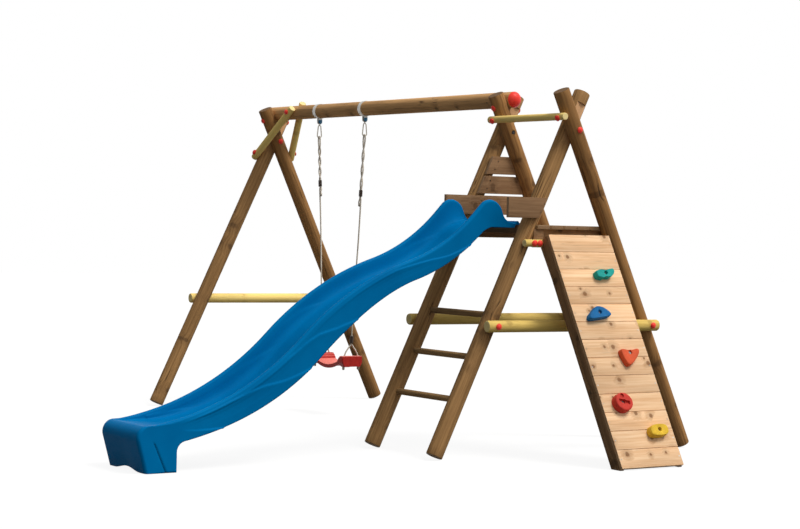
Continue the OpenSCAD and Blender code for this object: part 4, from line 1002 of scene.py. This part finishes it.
arch_c = arch_end - arch_r * slope_normal(toe_slope)
arch = circle_points(arch_c, arch_r, 90 - toe_slope, 0, 16)[1:]
heel = [np.array([foot_back, arch_c[1] * (1 - k / 5)]) for k in range(1, 6)]
sole = [np.array([foot_back + (foot_toe[0] - foot_back) * k / 20, 0.0]) for k in range(1, 21)]
foot_low = evenly([(*p, 0) for p in [arch_end] + arch + heel + sole], 1)[:, :2]
foot_share = np.linspace(0, 1, len(foot_crest) + 1)[1:]
foot_low = foot_low[np.round(foot_share ** 0.9 * (len(foot_low) - 1)).astype(int)]
foot_low[:, 1] = np.maximum(foot_low[:, 1], 1.0)
wall_end_depth = float(np.linalg.norm(wall_end - wall_bed))
for k, p in enumerate(foot_crest):
    fade = max(0.0, 1 - (k + 1) / (len(foot_run) + 3))
    ahead = foot_crest[min(k + 1, len(foot_crest) - 1)] - (foot_crest[k - 1] if k else wall_end)
    ahead = ahead / np.linalg.norm(ahead)
    under = p - wall_end_depth * fade ** 1.3 * np.array([-ahead[1], ahead[0]])
    stations.append((p, under, foot_low[k]))
slide_far = run_along([crest for crest, _, _ in stations])
slide_far -= slide_far[rim_first]
corner_r = 20


def front_u(v):
    """How far the foot's front reaches at a height."""
    if v >= foot_nose[1]:
        return foot_c[0] + math.sqrt(max(0.0, foot_r ** 2 - min(foot_r, v - foot_c[1]) ** 2))
    return foot_toe[0] + (foot_nose[0] - foot_toe[0]) * v / foot_nose[1]


def corner_pull(u, v):
    """How far the foot's sides are drawn in to round its front corners."""
    into = u - (front_u(v) - corner_r)
    if into <= 0:
        return 0.0
    return corner_r - math.sqrt(max(0.0, corner_r ** 2 - min(into, corner_r) ** 2))


ridge_starts, ridge_h = (130, 1015, 1446, 2026), 6.5
ridge_down, ridge_along = [0.05, 0.15, 0.3, 0.62, 1.0], [490, 355, 270, 165, 0]


def wall_relief(far, down, depth):
    """Height of the flowing steps: each leaves the lower edge, where down is 1, and sweeps up to the rim."""
    away = np.interp([down - 0.03, down, down + 0.03], ridge_down, ridge_along)
    slant = math.hypot(1, (away[2] - away[0]) / (0.06 * depth))
    height = 0.0
    for start in ridge_starts:
        off = (far - start - away[1]) / slant
        if off > 0:
            height += ridge_h * math.exp(-off / 60) * (1 - math.exp(-off / 3))
    return height * min(1.0, 12 * down)


def groove_at(u, v):
    """1 in the slanted groove on the foot's sides and 0 away from it."""
    off = 0.9 * (u - (foot_toe[0] - 122) - 0.45 * v)
    return math.exp(-(off / 3.2) ** 2) * min(1.0, max(0.0, (168 - v) / 12))


wall_rows, rim_rows, inner_rows, bed_rows = 28, 9, 18, 9
wall_inset, groove_deep = 6, 4
down_plumb = np.array([0.0, -1.0])
slide_columns = []
for k, (top, deep, low) in enumerate(stations):
    depth = float(np.linalg.norm(top - deep))
    down_in = (deep - top) / depth if depth > 0.5 else down_plumb
    drop = low - top
    drop_length = float(np.linalg.norm(drop))
    down_out = drop / drop_length if drop_length > 0.1 else down_plumb
    roll_h = min(15.0, 0.45 * depth, 0.45 * drop_length)
    in_foot = k >= run_count
    inset_share = min(1, drop_length / 60) * min(1, max(0, (run_count - k) / 30))
    half_row = []
    for row in range(wall_rows + 1):
        share = row / wall_rows
        share = 1 - (1 - share) ** 1.6 if in_foot else share
        place = low + (top + roll_h * down_out - low) * share
        relief = 0.0
        if k >= rim_first:
            relief = inset_share * wall_relief(slide_far[k], 1 - share, max(60, drop_length))
        groove = groove_at(*place) if in_foot else 0.0
        x = slide_half - wall_inset * inset_share + relief - corner_pull(*place) - groove_deep * groove
        half_row.append((x, place, groove))
    outer_x = half_row[-1][0]
    inner_x = min(outer_x, slide_half) - rim_w
    for row in range(1, rim_rows):
        angle = math.pi * row / rim_rows
        x = inner_x + (outer_x - inner_x) * (0.5 + 0.5 * math.cos(angle))
        place = top + roll_h * (1 - math.sin(angle)) * (down_out if angle < math.pi / 2 else down_in)
        half_row.append((x, place, 0.0))
    foot_x = inner_x - 0.16 * depth
    fillet = max(24.0, min(0.55 * depth, 46))
    for row in range(inner_rows + 1):
        share = row / inner_rows
        reach = roll_h + (depth - roll_h) * (1 - (1 - share) ** 2.2)
        x = inner_x - (inner_x - foot_x + fillet) * share ** 2.4
        relief = 0.0
        if rim_first <= k < run_count:
            fade = math.sin(math.pi * share) ** 0.5
            relief = 0.7 * wall_relief(slide_far[k] + 240, share, max(60, depth)) * fade
        half_row.append((x - relief, top + reach * down_in, 0.0))
    bed_x = half_row[-1][0]
    hollow = min(8.0, 0.06 * depth)
    for row in range(1, bed_rows + 1):
        share = row / bed_rows
        half_row.append((bed_x * (1 - share), deep + hollow * down_in * math.sin(share * math.pi / 2), 0.0))
    slide_columns.append(half_row + [(-x, place, groove) for x, place, groove in reversed(half_row[:-1])])

foot_arch, arch_half = 20, 150
slide_points, slide_groove_shade = [], []
for k, column in enumerate(slide_columns):
    for x, (u, v), groove in column:
        if k >= run_count and u > foot_back and abs(x) < arch_half:
            lift = math.cos(math.pi * x / (2 * arch_half)) ** 2
            v = v + foot_arch * lift * max(0.0, 1 - v / foot_nose[1])
        slide_points.append(spot(slide_mid + x, -u, v))
        slide_groove_shade.append(groove)
wide = len(slide_columns[0])
slide_faces = [(k * wide + n, k * wide + n + 1, (k + 1) * wide + n + 1, (k + 1) * wide + n)
               for k in range(len(slide_columns) - 1) for n in range(wide - 1)]
slide_mesh = bpy.data.meshes.new("slide_shell")
slide_mesh.from_pydata([tuple(p) for p in slide_points], [], slide_faces)
slide_mesh.shade_smooth()
mark(slide_mesh, "groove", "POINT", slide_groove_shade)

slide_blue, slide_tree, slide_shader = new_material("slide_blue", 0.42, Specular_IOR_Level=0.01)
slide_place = own_place(slide_tree)
slide_peel = mottle(slide_place, 260.0, 2.0)
slide_cloud = between(mottle(slide_place, 2.2), 0.3, 0.7)
slide_scuff = mottle(stretched(slide_place, (120, 6, 6)), 1.0, 4.0, 0.65)
slide_colour = mixed(slide_cloud, (0.0, 0.135, 0.36, 1), (0.0, 0.175, 0.44, 1))
slide_colour = mixed(between(slide_scuff, 0.62, 0.8, 0.0, 0.25), slide_colour, (0.01, 0.21, 0.5, 1))
# The foot's slanted groove is tinted near black: painted shade in it.
slide_colour = mixed(marked(slide_tree, "groove") * 0.9, slide_colour, (0.0, 0.012, 0.03, 1))
put(slide_shader.inputs["Base Color"], slide_colour)
put(slide_shader.inputs["Roughness"], between(slide_scuff, 0.35, 0.7, 0.36, 0.5))
bumped(slide_shader, slide_peel, 0.0004, 0.5)
slide_piece = show("slide_shell", slide_mesh, slide_blue, "slide_plastic", "frame", "slide")
skin = slide_piece.modifiers.new("skin", "SOLIDIFY")
skin.thickness = skin_h / 1000
skin.offset = -1


# Climbing wall
# Thirteen pale pine boards are screwed side by side onto two dark brown stringers, which hang on the
# wall bar and stand on the ground.
wall_lean = math.radians(28.8)
wall_down = Vector((math.sin(wall_lean), 0, -math.cos(wall_lean)))
wall_out = Vector((math.cos(wall_lean), 0, math.sin(wall_lean)))
wall_place = Matrix((wall_down, along_y, wall_out)).transposed().to_4x4()
wall_top_x, wall_top_z = 748.376, 1312
wall_place.translation = spot(wall_top_x, 0, wall_top_z)
wall_half, wall_step, board_t, board_gap = 0.231, 0.114, 0.022, 0.002
wall_pine = timber("wall_pine", (0.83, 0.58, 0.36), (0.66, 0.385, 0.2), (0.22, 0.105, 0.045),
                   (0.3, 0.19, 0.1), (0.85, 0.62, 0.4), cracks=0.2, patches=0.8, spread=9.0, depth=0.0006)
stringer_brown = timber("stringer_brown", (0.28, 0.155, 0.07), (0.14, 0.076, 0.034), (0.06, 0.03, 0.012),
                        (0.2, 0.13, 0.08), (0.6, 0.36, 0.2), knots=0.8, cracks=0.7, patches=0.8)
wall_parts = []
for k in range(13):
    low, high = wall_step * k, wall_step * (k + 1) - board_gap
    outline = [(low, -wall_half), (high, -wall_half), (high, wall_half), (low, wall_half)]
    board_place = wall_place @ Matrix.Translation((0, 0, -board_t))
    board = board_blank("wall_board", outline, board_t, board_place, 0.003)
    start = wall_place @ Vector(((low + high) / 2, -wall_half, -0.06))
    grain_marks(board, start, along_y, wall_out, 120 + k)
    wall_parts.append(board)
show("wall_boards", joined("wall_boards", wall_parts), wall_pine, "wall_wood", "frame", "wall_panel")

stringer_h, stringer_t = 0.092, 0.028
stringer_face = -board_t - 0.0001
stringer_low = [(wall_top_z / 1000 + math.sin(wall_lean) * z) / math.cos(wall_lean)
                for z in (-stringer_h, stringer_face)]
stringer_outline = [(0, -stringer_h), (stringer_low[0], -stringer_h), (stringer_low[1], stringer_face),
                    (0, stringer_face)]
for word, y in (("left", -wall_half), ("right", wall_half - stringer_t)):
    edge_on = Matrix(((1, 0, 0, 0), (0, 0, 1, y), (0, 1, 0, 0), (0, 0, 0, 1)))
    fixed_board("stringer_" + word, stringer_outline, stringer_t, wall_place @ edge_on, wall_down,
                140 + len(word), stringer_brown, [wall_bar_round])


# Grips
# Five holds cast in coloured resin with sand in it. Each has a flat face, sides that are drawn in towards it
# and a sinking for the bolt that holds it through the wall's boards.
def resin(name, colour):
    """Finish of cast resin: speckled, with a sandy skin."""
    made, tree, shader = new_material(name, 0.6, Specular_IOR_Level=0.12)
    place = own_place(tree)
    grit = mottle(place, 420.0, 3.0, 0.7)
    tone = between(grit * 0.6 + mottle(place, 26.0) * 0.4, 0.35, 0.65)
    dark, pale = [tuple(c * k for c in colour) + (1,) for k in (0.72, 1.12)]
    put(shader.inputs["Base Color"], mixed(tone, dark, pale))
    bumped(shader, grit, 0.0012, 0.8)
    return made


def outward_mesh(name, points, faces):
    """Mesh whose faces all look outward."""
    made = bpy.data.meshes.new(name)
    made.from_pydata([tuple(p) for p in points], [], faces)
    form = bmesh.new()
    form.from_mesh(made)
    bmesh.ops.recalc_face_normals(form, faces=form.faces)
    form.to_mesh(made)
    form.free()
    return made


def grip(node, down, across, corners, height, material, slot, cutters=()):
    """Hold with a rounded outline; its corners are given across and down the wall from its bolt."""
    outline = np.array(corners, float)
    for _ in range(3):
        after = np.roll(outline, -1, axis=0)
        pairs = np.stack([0.75 * outline + 0.25 * after, 0.25 * outline + 0.75 * after], axis=1)
        outline = pairs.reshape(-1, 2)
    middle = outline.mean(axis=0)
    turn = np.arctan2(outline[:, 1], outline[:, 0])
    sinking = np.stack([np.cos(turn), np.sin(turn)], axis=1)
    layers = [(0.3, outline)]
    for rise, size in ((0.3, 1.02), (0.62, 1.0), (0.88, 0.975), (0.96, 0.945), (1.0, 0.9)):
        layers.append((rise * height, middle + size * (outline - middle)))
    face = layers[-1][1]
    for share in (0.35, 0.7, 1.0):
        layers.append((height - 1.5 * share, face + (14 * sinking - face) * share))
    layers += [(height - 3, 12.5 * sinking), (24.5, 11.6 * sinking), (18.3, 11.4 * sinking)]
    points = [wall_place @ Vector(((down + y) / 1000, (across + x) / 1000, z / 1000))
              for z, ring in layers for x, y in ring]
    mesh = cut(outward_mesh(node, points, capped_faces(len(layers), len(outline))), cutters)
    crease(mesh, 42)
    return show(node + "_resin", mesh, material, slot, "frame", node)


wall_length = 1482
grip("grip_one", 0.181 * wall_length, 80,
     [(-70, -15), (-34, -24), (5, -18), (42, -28), (70, -30), (72, -6), (42, 22), (14, 30), (-12, 24),
      (-28, 36), (-50, 31), (-70, 28), (-74, 4)], 40, resin("resin_teal", (0.015, 0.37, 0.33)), "grip_teal")
grip("grip_two", 0.354 * wall_length, -62,
     [(-28, -32), (-9, -40), (22, -37), (54, -22), (80, 3), (82, 18), (60, 28), (2, 36), (-56, 43),
      (-84, 43), (-88, 30), (-76, 8), (-48, -12)], 40, resin("resin_blue", (0.01, 0.145, 0.38)), "grip_blue")
grip("grip_three", 0.528 * wall_length, 73,
     [(-64, -18), (-52, -25), (-31, -19), (-5, -15), (28, -17), (62, -25), (76, -18), (68, 6), (36, 38),
      (-2, 70), (-30, 82), (-46, 74), (-56, 48), (-66, 11)], 34,
     resin("resin_orange", (0.72, 0.11, 0.04)), "grip_orange")
red_down, red_across = 0.737 * wall_length, -98
red_round = [(63 * math.cos(math.pi * k / 7), 58 * math.sin(math.pi * k / 7)) for k in range(14)]
red_slot = wall_place @ Matrix.Translation((red_down / 1000, red_across / 1000, 0.030))
red_slot = red_slot @ Matrix.Rotation(math.radians(-14), 4, "Z")
red_pit = wall_place @ Matrix.Translation(((red_down - 36) / 1000, (red_across - 6) / 1000, 0.034))
red_cuts = [block((-0.011, -0.038, 0), (0.011, 0.038, 0.03), red_slot),
            tube(red_pit.translation, red_pit @ Vector((0, 0, 0.03)), 0.013, 24)]
grip("grip_four", red_down, red_across, red_round, 44, resin("resin_red", (0.6, 0.05, 0.035)), "grip_red",
     red_cuts)
grip("grip_five", 0.857 * wall_length, 100,
     [(-62, -18), (-38, -31), (14, -35), (54, -29), (68, -10), (64, 18), (48, 33), (6, 40), (-48, 38),
      (-70, 27), (-72, 6)], 42, resin("resin_yellow", (0.78, 0.50, 0.04)), "grip_yellow")


# Fixings
# Zinc-plated screws and darker steel bolts hold the wood. Domed red plastic caps are pushed over the bolts'
# heads and nuts, and larger ones close the beam's ends.
def coat(material, *nodes):
    """Gives solids that are shown as they are a finish."""
    for node in nodes:
        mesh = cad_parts[node].data
        mesh.materials.clear()
        mesh.materials.append(material)


def metal(name, dark, pale, rough, metallic=1.0):
    """Finish of plated metal with dull patches and fine scratches."""
    made, tree, shader = new_material(name, rough, Metallic=metallic)
    place = own_place(tree)
    dull = mottle(place, 60.0, 4.0, 0.6)
    scratch = mottle(stretched(place, (900, 900, 40)), 1.0, 2.0)
    put(shader.inputs["Base Color"], mixed(between(dull, 0.3, 0.7), (*dark, 1), (*pale, 1)))
    put(shader.inputs["Roughness"], between(dull, 0.3, 0.7, rough - 0.1, rough + 0.12))
    bumped(shader, scratch, 0.0002, 0.5)
    return made


def moulded(name, dark, pale, rough=0.4):
    """Finish of moulded plastic with a fine grained skin, its shader and its colour."""
    made, tree, shader = new_material(name, rough, Specular_IOR_Level=0.2)
    place = own_place(tree)
    cloud = mottle(place, 40.0)
    colour = mixed(between(cloud, 0.3, 0.7), (*dark, 1), (*pale, 1))
    put(shader.inputs["Base Color"], colour)
    put(shader.inputs["Roughness"], between(cloud, 0.3, 0.7, rough - 0.06, rough + 0.08))
    bumped(shader, mottle(place, 1200.0, 2.0), 0.0003, 0.4)
    return made, shader, colour


cap_red = moulded("cap_red", (0.9, 0.045, 0.03), (0.98, 0.065, 0.045))[0]
coat(cap_red, "bolt_caps", "beam_cap_left", "beam_cap_right")
coat(metal("bolt_black", (0.02, 0.018, 0.016), (0.06, 0.05, 0.045), 0.6, 0.4), "frame_bolts")
coat(metal("zinc", (0.5, 0.49, 0.46), (0.78, 0.77, 0.74), 0.42, 0.6), "wall_screws", "board_screws")
coat(metal("grip_bolt_steel", (0.12, 0.11, 0.1), (0.32, 0.3, 0.28), 0.5), "grip_bolts")


# Swing hangers and hooks
# A galvanised strap is clamped round the beam; its ears are dipped in blue plastic and hold the pin and the
# nylon bush. A snap hook of round wire with a spring gate hangs from it.
strap_steel, strap_shader, strap_blue = moulded("strap_steel", (0.06, 0.24, 0.42), (0.12, 0.34, 0.54), 0.45)
strap_place = own_place(strap_blue.tree)
strap_z = wired(strap_blue.tree, "SeparateXYZ", (strap_place,), "Z")
strap_up = between(strap_z, (beam_z - 64) / 1000, (beam_z - 60) / 1000)
strap_zinc = mixed(mottle(strap_place, 90.0, 4.0), (0.42, 0.41, 0.38, 1), (0.80, 0.78, 0.73, 1))
put(strap_shader.inputs["Base Color"], mixed(strap_up, strap_blue, strap_zinc))
put(strap_shader.inputs["Metallic"], strap_up * 0.5)
coat(strap_steel, "hanger_left", "hanger_right")
coat(moulded("bush_blue", (0.015, 0.17, 0.5), (0.03, 0.24, 0.6))[0], "bush_left", "bush_right")
hook_wire = metal("hook_wire", (0.30, 0.27, 0.22), (0.56, 0.52, 0.45), 0.38, 0.75)
coat(hook_wire, "hook_left", "hook_right", "gate_left", "gate_right")
sleeve_brown = moulded("sleeve_brown", (0.03, 0.02, 0.014), (0.06, 0.042, 0.03), 0.5)[0]
coat(sleeve_brown, "adjuster_left", "adjuster_right", "ferrule_left", "ferrule_right")


# Swing seat
# One moulded red seat: a dished strap that rises in ribbed steps to an end block on each side, whose lower
# corners are cut off. The ropes pass through the blocks and are knotted under them.
seat_half, seat_deep, block_inner = 210, 82.5, 165
seat_skin, seat_dip, dish_edge, skirt_h = 14, 43, 395, 12


def seat_section(x):
    """Outline of the seat across its depth at a place along it, as depth and height."""
    far = abs(x)
    top = dish_edge - seat_dip * (1 - (min(far, block_inner) / block_inner) ** 2)
    low = top - seat_skin
    rise = min(1, max(0, (far - 138) / 34))
    steps = min(1.0, (math.floor(3 * rise) + min(1.0, 2.2 * (3 * rise % 1))) / 3)
    top += (seat_top - top) * steps
    end = min(1, max(0, (far - block_inner + 14) / 16))
    low += (seat_z - low) * end
    edge = low - skirt_h * (1 - end)
    cut_y, cut_z = 3 + 13 * end, 3 + 25 * end
    soft = 3 + 5 * end
    inner = seat_deep - cut_y
    rounding = [(seat_deep, edge + cut_z), (seat_deep, top - soft),
                (seat_deep - 0.3 * soft, top - 0.3 * soft), (seat_deep - soft, top)]
    return [(-inner, edge), (-inner + 9, edge), (-inner + 12, low), (inner - 12, low), (inner - 9, edge),
            (inner, edge)] + rounding + [(-y, z) for y, z in reversed(rounding)]


seat_stations = [-209.9 + 2.0 * k for k in range(211)]
seat_points = []
for x in seat_stations:
    shrink = 1 - 0.05 * max(0, abs(x) - 204) / 6
    section = seat_section(x)
    mid_z = sum(z for _, z in section) / len(section)
    seat_x = swing_x + max(-seat_half, min(seat_half, x))
    seat_points += [spot(seat_x, y * shrink, mid_z + (z - mid_z) * shrink) for y, z in section]
seat_faces = capped_faces(len(seat_stations), len(seat_section(0)))
seat_mesh = outward_mesh("seat_moulding", seat_points, seat_faces)
crease(seat_mesh, 28)
seat_red, seat_shader, seat_plain = moulded("seat_red", (0.36, 0.012, 0.009), (0.5, 0.022, 0.014), 0.45)
# Faces that look up are mixed towards pale pink: a painted highlight on the seat's tops.
seat_normal = wired(seat_plain.tree, "NewGeometry", out="Normal")
seat_painted_highlight = between(wired(seat_plain.tree, "SeparateXYZ", (seat_normal,), "Z"), 0.55, 0.95)
put(seat_shader.inputs["Base Color"], mixed(seat_painted_highlight, seat_plain, (0.78, 0.2, 0.16, 1)))
show("seat_moulding", seat_mesh, seat_red, "seat_plastic", "swing", "seat")
